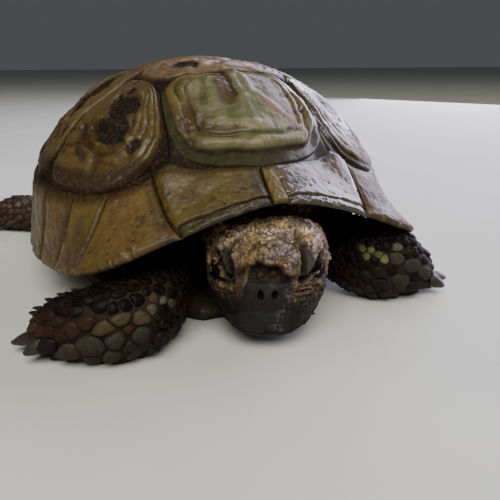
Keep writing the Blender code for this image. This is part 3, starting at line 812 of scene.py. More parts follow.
def marginal_plate(node, upper, lower, columns, rows, seed, cracked=False):
    """A marginal as one closed band: down its face, round the edge and up its back."""
    obj, u, w = unit_grid(f"{node}_horn", columns, rows)

    def face(u, down):
        top = upper[0] + (upper[1] - upper[0]) * u
        low = lower[0] + (lower[1] - lower[0]) * u
        return margin_surface(top + (low - top) * down, down)

    down = np.interp(w, (0, FACE_END, LIP_END, BACK_END, 1), (0, 1, 1, 0.06, 0.0))
    base, normal = face(u, down), facing(face, u, np.clip(down, 0.01, 0.99))
    height, tint, ring, dull = marginal_relief(base, u, down, seed, cracked)
    if "left" in node:
        tint = mix(tint, ROSE_BROWN, 0.35 * ramp(rough(base, 9, seed + 9), -0.2, 0.5)) * 0.6
        dull = np.maximum(0.3 * dull, 0.1 if "_1_" in node else 0.86 + 0.15 * rough(base, 5, seed))
    if node == "marginal_1_right":
        tint = tint * 0.78
    tangent = unit(face(u, down) - face(u, down - 0.02))
    turn = np.clip((w - FACE_END) / (LIP_END - FACE_END), 0, 1) * math.pi
    front = w <= FACE_END
    thick = 2 * LIP + (WALL - 2 * LIP) * (1 - down)
    lip = normal * LIP * (np.cos(turn) - 1)[:, None] + tangent * LIP * (np.sin(turn) - 1)[:, None]
    back = -normal * thick[:, None] - tangent * LIP
    fade = np.where(front, 1, np.clip(1 - turn / math.pi, 0, 1))[:, None]
    points = base + height[:, None] * normal * fade
    settle = ramp(down, 0.75, 1.0)[:, None]
    points = np.where(front[:, None], points - tangent * LIP * settle, points)
    rounding = (~front) & (w <= LIP_END)
    points = np.where(rounding[:, None], points + lip, points)
    rear = w > LIP_END
    points = np.where(rear[:, None], base + back, points)
    closing = np.clip((w - BACK_END) / (1 - BACK_END), 0, 1)[:, None]
    start = face(u, 0 * u)
    top = start + height[:, None] * normal
    points = np.where(closing > 0, points * (1 - closing) + top * closing, points)
    put_points(obj, points)
    under = np.clip(turn / math.pi, 0, 1)
    tint = mix(tint, MOSS, 0.8 * under)
    set_tint(obj, tint)
    set_number(obj, "ring", ring)
    set_number(obj, "dull", np.maximum(dull, 0.8 * under))
    weld(obj, fill=True)
    place_piece(obj, "shell_edge", FLANK_HORN if "left" in node else EDGE_HORN, node)


def marginal_plates():
    nuchal = (-NUCHAL_HALF, NUCHAL_HALF)
    marginal_plate("nuchal", nuchal, nuchal, 24, 110, 2)
    rear = (UPPER_SEAMS[-1], 360 - UPPER_SEAMS[-1])
    marginal_plate("supracaudal", rear, rear, 60, 70, 3)
    uppers = list(zip(UPPER_SEAMS, UPPER_SEAMS[1:]))
    lowers = list(zip(LOWER_SEAMS, LOWER_SEAMS[1:]))
    for i, (upper, lower) in enumerate(zip(uppers, lowers)):
        columns, rows = (110, 130) if i < 2 else (44, 90)
        marginal_plate(f"marginal_{i + 1}_left", upper, lower, columns, rows, 4 + i, i == 0)
        upper, lower = (-upper[1], -upper[0]), (-lower[1], -lower[0])
        marginal_plate(f"marginal_{i + 1}_right", upper, lower, columns, rows, 24 + i, i == 0)


# ---------------------------------------------------------------- hide

# Middle lines of the fleshy parts: rows of x, y, z and radius, as in the CAD model
RIGHT_ARM = (
    (-23, -34, 20, 9), (-29, -49, 17, 9.7), (-31, -61, 13.5, 10.2), (-36, -69, 11, 10.2),
    (-44.5, -70.5, 10.3, 9.9), (-53, -66.2, 8.5, 9.0), (-60, -61.8, 6.5, 7.5), (-64, -60.2, 4.8, 5.4),
)
LEFT_ARM = (
    (23, -34, 20, 9), (30, -46, 17, 9.7), (34, -56, 15, 11.0), (40, -62, 13, 11.2),
    (47, -63.5, 11.2, 10.4), (53, -63.5, 8.5, 8.7), (57.5, -63.5, 6.5, 7.0), (60, -63.5, 5.5, 4.9),
)
RIGHT_LEG = (
    (-22, 36, 20, 10), (-38, 43, 15, 10.1), (-50, 49, 9.7, 10.2), (-59, 54, 7.5, 9),
    (-69, 60, 8, 8.9), (-79, 65.5, 7.3, 8.1), (-83.5, 68, 5.3, 6.1),
)
LEFT_LEG = (
    (22, 36, 20, 10), (36, 43, 15, 10.1), (47, 50.5, 9.6, 9.9), (57, 60, 7.5, 8.5),
    (63.5, 66.5, 6, 7.4), (67.5, 70.5, 4.6, 5.7),
)
TAIL = (
    (0, 44, 15, 7.5), (0.5, 60, 12.5, 6.2), (3, 70, 9.5, 4.8), (7.5, 78, 6.5, 3.3),
    (12, 82.5, 4, 1.4),
)
HEAD_LINE = (
    (4.5, -55.3, 18, 14.5), (2.5, -60.5, 18, 15.5), (0, -67, 18, 16.5),
    (-3.6, -76.3, 17.4, 14), (-5.5, -81.5, 15, 11),
)
NECK_LINE = ((7.3, -47.5, 20.5, 12.5), (6, -34, 21, 14.5))
LINES = {
    "head": HEAD_LINE, "neck": NECK_LINE, "arm_right": RIGHT_ARM, "arm_left": LEFT_ARM,
    "leg_right": RIGHT_LEG, "leg_left": LEFT_LEG, "tail": TAIL,
}
BEAK = ("upper_beak", "lower_jaw")
FLESH = (
    "trunk", "neck", "head", "arm_left", "arm_right", "forearm_left",
    "forearm_right", "leg_left", "leg_right", "foot_left", "foot_right", "tail",
)
FLESH_SWELL = 0.45
HIDE_CELL = 1.5
TRUNK_REACH = 1.42  # flesh further from every limb, in its radii, belongs to the trunk
FACE_BALL = 19.0  # radius of the ball that measures places across the face
SKIN_FLOOR_GAP = 0.15
NOSE_ROOM, NOSE_BLEND = 1.0, 0.4  # how far inside the CAD box the nose is held, and how softly
RUMP_ROOM, RUMP_BLEND = 0.7, 0.2
EYE_RADIUS = 3.7
EYE_PLACE = (12.2, -9.6, 3.8)  # of the left one, in the head's own frame
EYE_BED = 1.2  # how far the skin's hollow for an eye stands off it
EYE_COLOURS = (0.003, 0.002, 0.002), (0.006, 0.004, 0.003)

# Lines on the head, in the head's own frame
RIGHT_SLIT = (
    (-13.3, -9.9, 8.6), (-12.7, -12.0, 7.7), (-12.1, -13.4, 6.6), (-11.2, -14.8, 5.1),
    (-10.6, -15.7, 3.6),
)
LEFT_SLIT = (
    (14.2, -10.1, 7.5), (13.5, -12.2, 6.3), (12.6, -13.7, 4.9), (11.1, -15.3, 3.9),
    (9.2, -16.9, 2.9),
)
RIGHT_LID = (-10.9, -13.6, 7.0)
LEFT_LID = (10.6, -14.0, 6.8)
FOLDS = (  # path, width, depth
    (((-15.8, -7.6, 8.0), (-15.6, -8.5, 5.2), (-14.6, -10.5, 2.2), (-14.3, -12.0, 0.5)), 0.45, 0.8),
    (((-14.6, -9.0, 7.4), (-14.0, -11.5, 4.6), (-12.9, -13.9, 2.4)), 0.4, 0.6),
    (
        ((-7.5, -11.3, 11.3), (-8.9, -13.0, 9.8), (-9.2, -14.6, 7.4), (-9.2, -15.7, 5.4),
         (-9.2, -16.8, 2.8)),
        0.65, 1.7,
    ),
    (((-10.2, -13.6, 8.8), (-10.4, -14.6, 6.0), (-10.3, -15.6, 4.0)), 0.3, 0.5),
    (((-13.6, -12.6, 1.8), (-11.0, -15.6, 1.9), (-9.0, -17.0, 2.2)), 0.5, 0.8),
    (((-14.6, -11.8, -0.4), (-12.0, -15.0, -0.6), (-9.2, -17.6, -0.6)), 0.4, 0.6),
    (
        ((7.2, -9.0, 12.4), (7.6, -10.4, 11.7), (8.4, -12.5, 10.4), (8.4, -14.7, 8.1),
         (8.7, -15.9, 5.5), (8.5, -17.1, 3.2)),
        0.75, 2.3,
    ),
    (((16.6, -4.5, 6.6), (16.2, -8.0, 3.6), (15.0, -11.6, 1.2), (15.2, -11.8, -1.6)), 0.45, 0.8),
    (((15.9, -7.0, 6.4), (15.2, -10.0, 4.2), (13.4, -13.4, 2.6), (11.4, -15.6, 2.0)), 0.4, 0.7),
    (((8.4, -17.7, 1.6), (9.8, -16.8, 1.4), (12.7, -14.7, 0.5), (14.6, -12.6, -0.6)), 0.4, 0.8),
    (((8.0, -18.3, 0.2), (10.8, -16.4, -0.1), (13.3, -14.1, -0.6)), 0.35, 0.6),
    (((8.4, -17.8, -1.4), (11.2, -15.8, -1.6), (13.8, -13.0, -2.2)), 0.35, 0.5),
)
BROW = (
    (-14, 11.5), (-9.2, 9.6), (-7.4, 5.2), (-5.4, 7.2), (-2.6, 8.1), (-1.1, 7.5),
    (2.7, 7.3), (4.6, 5.3), (8.2, 4.1), (9.2, 9.0), (14, 11.0),
)
SNOUT_RIGHT = ((8, -4.5), (3.8, -5.9), (1.6, -6.9), (-0.9, -7.4), (-3.8, -9.0), (-6, -14), (-14, -16))
SNOUT_LEFT = ((8, 4.0), (3.9, 6.6), (1.2, 7.2), (-0.7, 6.5), (-2.1, 6.0), (-4, 8.0), (-6.2, 12), (-14, 15))
MOUTH = (
    (-17, 2, -6.5), (-15, -9.5, -7.6), (-12.5, -13.5, -9.2), (-6.6, -17.4, -11.4), (0, -18.8, -12.0),
    (6.6, -17.4, -11.4), (12.5, -13.5, -9.2), (15, -9.5, -7.6), (17, 2, -6.5),
)
RIDGES = (  # path, width and height of the sharp folds beside the snout and outside the eyes
    (((-8.3, -13.0, 9.6), (-8.5, -15.1, 7.5), (-8.5, -16.5, 4.4), (-8.5, -17.7, 0.8)), 0.40, 0.7),
    (((7.7, -14.1, 9.1), (7.6, -16.4, 5.8), (7.3, -18.1, 1.6)), 0.40, 0.7),
    (((-15.2, -7.4, 8.6), (-14.9, -9.4, 5.6), (-14.0, -11.6, 2.6)), 0.5, 0.6),
    (((15.9, -6.0, 5.8), (15.2, -9.6, 3.0), (14.3, -12.4, 0.4)), 0.5, 0.7),
    (((9.2, -17.2, 1.0), (11.8, -15.6, 0.8), (14.0, -13.4, 0.2)), 0.35, 0.4),
)
RUST_PATH = (
    (-6.4, -16.6, 6.2), (-7.6, -16.9, 4.6), (-7.9, -18.0, 2.4), (-8.1, -18.4, 0.2),
    (-9.2, -17.6, -3.0),
)
HOLLOW = (-10.4, -16.3, 2.6)
NOSTRILS = ((-2.0, -20.2, 0.3), (1.9, -20.2, 0.2))
LID_SIZE = (2.5, 4.4, 4.6)
NOSTRIL_SIZE = (0.84, 2, 1.30)
EAR_DRUM, DRUM_SIZE = (17.4, 6, -1), (9, 3.2, 3.8)
SNOUT_SCALE = (1.0, -18.6, 3.0)
LOOSE_SCALES = (6.4, -16.6, 6.6), (7.5, -17.3, 4.2)
OCHRE_SPOTS = (
    (-4.5, -13, 11), (-6.2, -15.8, 7.5), (-9.8, -16.8, 1.2), (6.4, -4.9, 13.6), (7.8, -10, 11.9),
)
MAUVE_SPOTS = (
    (2, -15, 9.5), (5.2, -14.1, 9.9), (11.2, -0.3, 12.7), (13.5, -3.9, 10.6), (-6.3, -7.4, 13.1),
)
KNOBS = (  # place, size and height of the larger knobs of the head
    ((-9.8, -11.5, 11.0), 1.5, 1.3), ((-11.6, -9.8, 10.6), 1.2, 0.9), ((-8.6, -12.9, 10.4), 0.9, 0.7),
    ((10.2, -11.2, 10.4), 1.3, 0.9), ((12.4, -9.0, 9.8), 1.2, 0.7), ((5.6, -15.9, 7.6), 1.5, 0.8),
    ((2.2, -16.2, 8.6), 1.4, 0.5), ((-5.0, -15.4, 8.6), 1.3, 0.5), ((-6.4, -16.2, 6.2), 0.9, 0.7),
    ((-12.9, -14.6, 0.2), 1.3, 0.8), ((-10.2, -16.4, 0.4), 1.4, 0.8), ((-14.4, -12.2, -1.6), 1.0, 0.6),
    ((11.6, -15.6, -1.8), 1.4, 0.7), ((13.4, -13.6, -3.0), 1.2, 0.6), ((9.4, -17.4, -2.6), 1.0, 0.5),
    ((1.6, -18.0, 5.4), 1.3, 0.6), ((-1.4, -19.2, 3.2), 0.9, 0.3),
)


def head_frame(points):
    """The points in the head's own frame."""
    x, y, z = (points - HEAD_CENTRE).T
    c, s = math.cos(HEAD_TURN), math.sin(HEAD_TURN)
    return np.stack([c * x + s * y, c * y - s * x, z], -1)


def from_head(q):
    x, y, z = q
    c, s = math.cos(HEAD_TURN), math.sin(HEAD_TURN)
    return np.array([c * x - s * y, s * x + c * y, z]) + HEAD_CENTRE


def along(points, rows):
    """Distance of each point from a middle line, how far along it in rows, and the radius there."""
    rows = np.array(rows, float)
    best = np.full(len(points), 1e9)
    place = np.zeros(len(points))
    for i, (start, end) in enumerate(zip(rows[:, :3], rows[1:, :3])):
        run = end - start
        share = np.clip((points - start) @ run / (run @ run), 0, 1)
        gap = np.linalg.norm(points - start - share[:, None] * run, axis=1)
        closer = gap < best
        best = np.where(closer, gap, best)
        place = np.where(closer, i + share, place)
    return best, place, np.interp(place, np.arange(len(rows)), rows[:, 3])


def parts_of(points):
    """The name of the fleshy part that each point belongs to."""
    names = np.array(list(LINES) + ["trunk"])
    scores = []
    for rows in LINES.values():
        gap, _, radius = along(points, rows)
        scores.append(gap / radius)
    scores.append(np.full(len(points), TRUNK_REACH))
    return names[np.argmin(scores, axis=0)]


def hide_base():
    """One closed skin over all the flesh, at an even cell size."""
    copies = []
    for name in FLESH + BEAK:
        copy = bpy.data.objects.new(f"{name} flesh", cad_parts[name].data.copy())
        bpy.context.scene.collection.objects.link(copy)
        with editing(copy):
            bpy.ops.mesh.remove_doubles(threshold=2 * WELD)
        apply(copy, "DISPLACE", strength=FLESH_SWELL * MM, mid_level=0)
        copies.append(copy)
    copies += [eye_ball(side, EYE_RADIUS + EYE_BED) for side in (-1, 1)]
    pick_nothing()
    for copy in copies:
        copy.select_set(True)
    hide = copies[0]
    bpy.context.view_layer.objects.active = hide
    bpy.ops.object.join()
    bpy.ops.object.transform_apply(location=True, rotation=True, scale=True)
    hide.name = "hide"
    hide.data.remesh_voxel_size = HIDE_CELL * MM
    bpy.ops.object.voxel_remesh()
    return hide


def refine(hide, names, cuts):
    """Cuts the faces of some parts into finer ones and rounds them."""
    with editing(hide, np.isin(parts_of(points_of(hide)), names)):
        bpy.ops.mesh.subdivide(number_cuts=cuts)
        for _ in range(3):
            bpy.ops.mesh.vertices_smooth(factor=0.5, repeat=cuts + 1)


def inside(height, left, value, blur):
    """1 where value lies left of a border given by rows of height and value."""
    rows = np.array(left, float)
    order = np.argsort(rows[:, 0])
    return ramp(np.interp(height, rows[order, 0], rows[order, 1]) - value, -blur, blur)


def on_face(points):
    """The points led out or in to a ball round the head, so that only their place across it counts."""
    points = np.asarray(points, float)
    return points * (FACE_BALL / np.linalg.norm(points, axis=-1, keepdims=True))


def face_distance(q, path):
    return path_distance(on_face(q), on_face(path))


def face_mound(q, place, size):
    return mound(on_face(q) - on_face(place), size)


def head_marks(q):
    """The parts of the head's face at each point: brow, snout, lids, slits and folds, 0 to 1."""
    x, y, z = q.T
    forward = ramp(-y, 8, 12.5)
    brow_line = np.interp(x, *np.array(BROW).T) + 0.5 * hills(q, 1.3, 3)
    brow = ramp(z, brow_line - 0.25, brow_line + 0.25)
    middle = ramp(x, -9.6, -8.6) * (1 - ramp(x, 7.9, 8.9))
    mass = middle * brow * ramp(-z, -14.0, -10.5) * forward
    between = (1 - inside(z, SNOUT_RIGHT, x, 0.35)) * inside(z, SNOUT_LEFT, x, 0.35)
    snout = between * forward * (1 - brow)
    slits = np.minimum(face_distance(q, RIGHT_SLIT), face_distance(q, LEFT_SLIT))
    lids = np.zeros(len(q))
    for lid in (RIGHT_LID, LEFT_LID):
        away = (q - np.array(lid)) / np.array(LID_SIZE)
        lids = np.maximum(lids, 1 - ramp((away**2).sum(1), 0.45, 1.0))
    nostril = np.full(len(q), 9.0)
    for place in NOSTRILS:
        away = (q - np.array(place)) / np.array(NOSTRIL_SIZE)
        nostril = np.minimum(nostril, np.linalg.norm(away, axis=1))
    rust = hill(face_distance(q, RUST_PATH), 1.6, 4)
    hollow = face_mound(q, HOLLOW, 1.9)
    lowest = -5.6 + 3.2 * ramp(-x, 0, 7) + 0.6 * hills(q, 2.2, 26)
    crust = (1 - snout) * (1 - lids) * (1 - 0.9 * rust) * (1 - 0.8 * hollow)
    return {
        "mass": mass, "snout": snout, "slit": slits, "lids": lids,
        "mouth": face_distance(q, MOUTH), "nostril": nostril, "forward": forward,
        "crust": crust * ramp(z, lowest - 0.8, lowest + 0.5), "rust": rust, "hollow": hollow,
    }


def crust_height(q):
    """Height of the broken crust on the head: coarse lumps with finer ones on them, and pits."""
    warp = np.stack([hills(q, 1.9, k) for k in (71, 72, 73)], -1)
    bent = q + 0.7 * warp
    lumps = 0.50 * pebbles(bent, 2.3, 4) + 0.34 * pebbles(bent, 1.2, 9) + 0.16 * pebbles(q, 0.7, 14)
    crests = 1 - np.abs(rough(bent, 2.8, 15, 4))
    pits = ramp(rough(q, 1.2, 6), 0.2, 0.7)
    cracks = ramp(1 - np.abs(rough(bent, 4.2, 61, 2)), 0.90, 0.98)
    height = 0.75 * lumps + 0.55 * crests - 0.55 * pits - 0.4 * cracks - 0.74
    return height, ramp(lumps, 0.10, 0.50) * (1 - 0.8 * pits) * (1 - 0.9 * cracks)


def head_relief(q):
    """How far each point of the head stands out from the smooth skin."""
    marks = head_marks(q)
    x, y, z = q.T
    height = 2.6 * marks["mass"] * (0.6 + 0.4 * ramp(-z, -12.5, -8.5))
    height -= marks["snout"] * (0.3 * ramp(z, -4, 2) + 1.6 * ramp(z, 2.8, 4.4))
    height += 0.7 * marks["snout"] * ramp(z, 3.0, 4.4) * (pebbles(q, 2.2, 24) - 0.3)
    height -= 0.7 * marks["forward"] + 0.4 * marks["rust"]
    for place, size, rise in KNOBS:
        height += rise * face_mound(q, place, size)
    wrinkles = np.sin(5.2 * x + 1.5 * hills(q, 3, 17)) * marks["lids"]
    height += 0.9 * marks["lids"] + 0.10 * wrinkles + 0.5 * marks["lids"] * rough(q, 1.8, 27)
    height -= 2.2 * hill(marks["slit"], 0.72, 4) + 0.8 * marks["hollow"]
    height += 0.55 * hill(marks["slit"] - 1.5, 0.5) * (1 - marks["lids"])
    for path, width, depth in FOLDS:
        gap = face_distance(q, path)
        height -= depth * hill(gap, width)
        height += 0.35 * depth * hill(gap - 2.0 * width, 0.8 * width) * (1 - marks["snout"])
    for path, width, rise in RIDGES:
        height += rise * hill(face_distance(q, path), width)
    height -= 0.55 * hill(marks["mouth"], 0.3) * ramp(-y, 2, 6)
    height -= 2.2 * (1 - ramp(marks["nostril"], 0.65, 1.08))
    height += 0.25 * hill(marks["nostril"] - 1.5, 0.4)
    height += marks["crust"] * crust_height(q)[0]
    height += (0.10 * rough(q, 1.6, 8) + 0.05 * pebbles(q, 0.6, 2)) * marks["snout"]
    drum = np.linalg.norm((np.stack([np.abs(x), y, z], -1) - EAR_DRUM) / DRUM_SIZE, axis=1)
    return height - 0.5 * (1 - ramp(drum, 0.75, 1.0))


def limb_relief(points, part):
    """Loose folds of the hide on neck, limbs and tail."""
    height = 0.22 * rough(points, 2.6, 12) + 0.1 * pebbles(points, 1.1, 3)
    for name in ("neck", "arm_right", "arm_left", "leg_right", "leg_left", "tail"):
        _, place, _ = along(points, LINES[name])
        wave = np.sin(place * (9 if name == "neck" else 5) + 1.6 * hills(points, 7, 5))
        soft = 1 - ramp(place, 1.5, 3.0) if name != "neck" else 1.0
        height += np.where(part == name, 0.35 * wave * soft, 0)
    return height


def face_tint(q):
    """Colours of the head: crusty tan and ochre above, mauve on the crown, charcoal snout, with painted
    light on the front of the crown and painted shade on the top edge, low on the sides and in folds, slits
    and nostrils.
    """
    marks = head_marks(q)
    x, y, z = q.T
    lid_stripes = ramp(np.sin(5.2 * x + 1.5 * hills(q, 3, 17)), 0, 0.8)
    tint = paint(
        plain(CRUST_TAN, len(q)),
        (CRUST_MAUVE, ramp(hills(q, 4.5, 21) + 0.06 * x, 0.05, 0.5) * 0.7),
        (CRUST_OCHRE, ramp(hills(q, 4.0, 22) - 0.03 * x, 0.1, 0.55) * 0.8),
        *[(CRUST_OCHRE, mound(q - np.array(place), 2.0) * 0.85) for place in OCHRE_SPOTS],
        *[(CRUST_MAUVE, mound(q - np.array(place), 2.4) * 0.8) for place in MAUVE_SPOTS],
        (HIDE_BROWN, 0.75 * (1 - ramp(z + 0.6 * hills(q, 3, 2), -3.5, 4.0))),
        (HIDE_BROWN, 0.5 * ramp(-y, 6, 10) * ramp(-z, -8.5, -4) * ramp(np.abs(x), 8, 10)),
        (HIDE_BROWN, ramp(-x, 6, 14) * ramp(-z, -6, 2) * 0.6),
        # painted shade: the top edge of the head turns moss dark, as under the shell's front rim
        (MOSS, 0.6 * ramp(z, 13.5, 15.5)),
        (ROSE_BROWN, 0.6 * ramp(rough(q, 1.8, 62), 0.05, 0.5)),
        (UMBER, 0.55 * ramp(rough(q, 1.1, 63), 0.10, 0.45)),
    )
    for path, width, _ in FOLDS:
        beside = hill(face_distance(q, path) - 2.0 * width, 0.7 * width)
        tint = mix(tint, CRUST_OCHRE, 0.3 * beside * (1 - marks["snout"]))
    tint = paint(
        tint,
        (LID_BROWN, marks["lids"]),
        (HIDE_BROWN, 0.5 * marks["lids"] * lid_stripes),
        (HIDE_RED, 0.9 * np.maximum(marks["rust"], marks["hollow"])),
        (PLUM, 0.75 * (1 - crust_height(q)[1]) * marks["crust"]),
    )
    # painted shade: the creases of the folds darkened to near black
    for path, width, _ in FOLDS:
        tint = mix(tint, NEAR_BLACK, 0.9 * hill(face_distance(q, path), 1.15 * width))
    for path, width, _ in RIDGES:
        crest = hill(face_distance(q, path), width)
        tint = mix(tint, CRUST_TAN, 0.7 * crest * (1 - 0.9 * marks["rust"]))
    # painted shade: near black along the slits of the lids
    tint = mix(tint, NEAR_BLACK, hill(marks["slit"], 0.95, 4))
    dark_jaw = ramp(-x + 0.8 * hills(q, 2, 3), 6.5, 9.0) * (1 - ramp(z, -4.5, -2.5))
    flecks = ramp(rough(q, 0.7, 43), 0.05, 0.5) * hill(x - 5.6 - 0.35 * (z + 2), 1.7)
    horn = paint(
        plain(SNOUT_GREY, len(q)),
        (HIDE_RED, ramp(np.abs(x) + hills(q, 3, 8), 6, 12) * 0.6),
        (CRUST_MAUVE, 0.30 * flecks * (1 - ramp(z, 2.0, 3.5))),
    )
    tint = tint + (horn - tint) * np.maximum(marks["snout"], dark_jaw)[:, None]
    under_brow = marks["snout"] * ramp(z + 0.5 * hills(q, 1.8, 25), 3.2, 4.6)
    under_brow = under_brow * ramp(x, -3.2, -1.6)
    tint = paint(
        tint,
        (HIDE_RED, 0.95 * under_brow),
        (UMBER, 0.8 * under_brow * ramp(pebbles(q, 2.2, 24), 0.45, 0.8)),
        # painted shade: the top of the snout darkened right under the brow's ledge
        (NEAR_BLACK, 0.85 * marks["snout"] * ramp(z, 6.0, 7.4)),
        (HIDE_BROWN, ramp(-z, 11, 13)),
        (SCALE_GREY, 0.7 * face_mound(q, SNOUT_SCALE, 1.0)),
        # painted shade: the nostrils filled with black
        (BLACK, 1 - ramp(marks["nostril"], 0.90, 1.15)),
        (NEAR_BLACK, 0.7 * hill(marks["mouth"], 0.35) * marks["forward"]),
        *[(UMBER, 0.75 * face_mound(q, place, 1.4)) for place in LOOSE_SCALES],
    )
    # painted light: the front of the crown brightened up to about three times, as if lit from above
    crown = 0.95 + 2.0 * ramp(z, 8.5, 13) * ramp(y, -15, -8)
    # painted shade: the lower face darkened on both sides, away from the snout's middle
    shade = 1 - 0.85 * ramp(-z, -0.5, 4.5) * ramp(np.abs(x + 1.0), 5.0, 8.0)
    return tint * crown[:, None] * shade[:, None]


def limb_tint(points):
    """Colours of neck, limbs and tail, skin and scales alike."""
    return paint(
        plain(HIDE_BROWN, len(points)),
        (HIDE_RED, ramp(rough(points, 6, 41), 0.0, 0.5) * 0.7),
        (SCALE_GREY, ramp(rough(points, 5, 42), 0.1, 0.6) * 0.6),
    )


def hide():
    """The one skin over head, neck, trunk, limbs and tail."""
    skin = hide_base()
    refine(skin, ["head"], 3)
    refine(skin, ["arm_right", "arm_left", "neck"], 1)
    points, normal = points_of(skin), normals_of(skin)
    part = parts_of(points)
    q = head_frame(points)
    face = np.where(part == "head", ramp(-q[:, 1], -17, -12), 0.0)
    height = head_relief(q) * face + limb_relief(points, part) * (1 - face)
    cheeks = 0.6 * face * ramp(np.abs(q[:, 0]), 9, 16) * ramp(-q[:, 2], -9, -3)
    height = height - 0.35 - 0.25 * (1 - face) - cheeks
    points = points + normal * height[:, None]
    points[:, 2] = np.maximum(points[:, 2], SKIN_FLOOR_GAP)
    nose = CAD_BOX[0][1] / MM + NOSE_ROOM
    points[:, 1] = nose + NOSE_BLEND * np.logaddexp(0, (points[:, 1] - nose) / NOSE_BLEND)
    rump = CAD_BOX[1][1] / MM - RUMP_ROOM
    points[:, 1] = rump - RUMP_BLEND * np.logaddexp(0, (rump - points[:, 1]) / RUMP_BLEND)
    put_points(skin, points)
    tint = limb_tint(points)
    marks = head_marks(q)
    dim = 1 - 0.30 * marks["crust"][:, None]
    tint = tint + (face_tint(q) * dim - tint) * face[:, None]
    tint = np.where(np.isin(part, ("arm_right", "arm_left"))[:, None], 0.45 * tint, tint)
    set_tint(skin, tint)
    set_number(skin, "dust", 0.04 + 0.68 * marks["crust"] * face)
    return place_piece(skin, "skin", HIDE, *FLESH)


def eye_ball(side, radius, **fineness):
    """A ball round the middle of one eye, side +1 for the left."""
    centre = from_head(np.array(EYE_PLACE) * (side, 1, 1)) * MM
    bpy.ops.mesh.primitive_uv_sphere_add(radius=radius * MM, location=centre, **fineness)
    return bpy.context.object


def beak_top(q):
    return -3.0 - 0.030 * q[:, 0] ** 2 + 0.9 * rough(q, 2.6, 33)


def lip_height(x):
    across, _, height = zip(*MOUTH)
    return np.interp(x, across, height)


def beak(skin):
    """The two horny sheaths of the beak, each a thin shell over the skin of its jaw."""
    points = points_of(skin)
    q = head_frame(points)
    x, y, z = q.T
    lip = lip_height(x)
    head = (parts_of(points) == "head") & (y < -9)
    shells = {
        "upper_beak": head & (z < beak_top(q)) & (z > lip + 0.15),
        "lower_jaw": head & (z < lip - 0.15) & (z > lip - 3.6 + 0.3 * hills(q, 2.0, 34)),
    }
    for node, keep in shells.items():
        pick(skin)
        bpy.ops.object.duplicate()
        horn = bpy.context.object
        horn.name = f"{node}_horn"
        with editing(horn, ~keep):
            bpy.ops.mesh.delete(type="VERT")
        rest = points_of(horn)
        spot = head_frame(rest)
        over_lip, under_top = spot[:, 2] - lip_height(spot[:, 0]), beak_top(spot) - spot[:, 2]
        swell = 0.12 + 0.3 * np.exp(-np.abs(over_lip) / 1.2) + 0.12 * rough(spot, 2.0, 35)
        swell *= ramp(under_top, -0.2, 1.4)
        swell -= 0.45 * (1 - ramp(under_top, 0.0, 1.6))
        put_points(horn, rest + swell[:, None] * normals_of(horn))
        set_tint(horn, 0.5 * face_tint(spot))
        apply(horn, "SOLIDIFY", thickness=0.6 * MM, offset=-1)
        place_piece(horn, "dark_horn", BEAK_HORN, node)


def eyes():
    """Dark glossy eyeballs behind the slits of the lids."""
    shader = Shader("eye", Specular_IOR_Level=0.04)
    ring = shader.cells(1.4)
    colour = shader.blend(shader.range(ring, 0.1, 0.6), *EYE_COLOURS)
    dark = shader.finish(colour, 0.42, shader.bump(shader.noise(0.6), 0.01, 0.2))
    for side, suffix in ((1, "left"), (-1, "right")):
        pick_nothing()
        eye = eye_ball(side, EYE_RADIUS, segments=48, ring_count=32)
        eye.name = f"eyeball_{suffix}"
        bpy.ops.object.transform_apply(location=True, rotation=True, scale=True)
        place_piece(eye, "eye", dark, f"eye_{suffix}")


# ---------------------------------------------------------------- scales

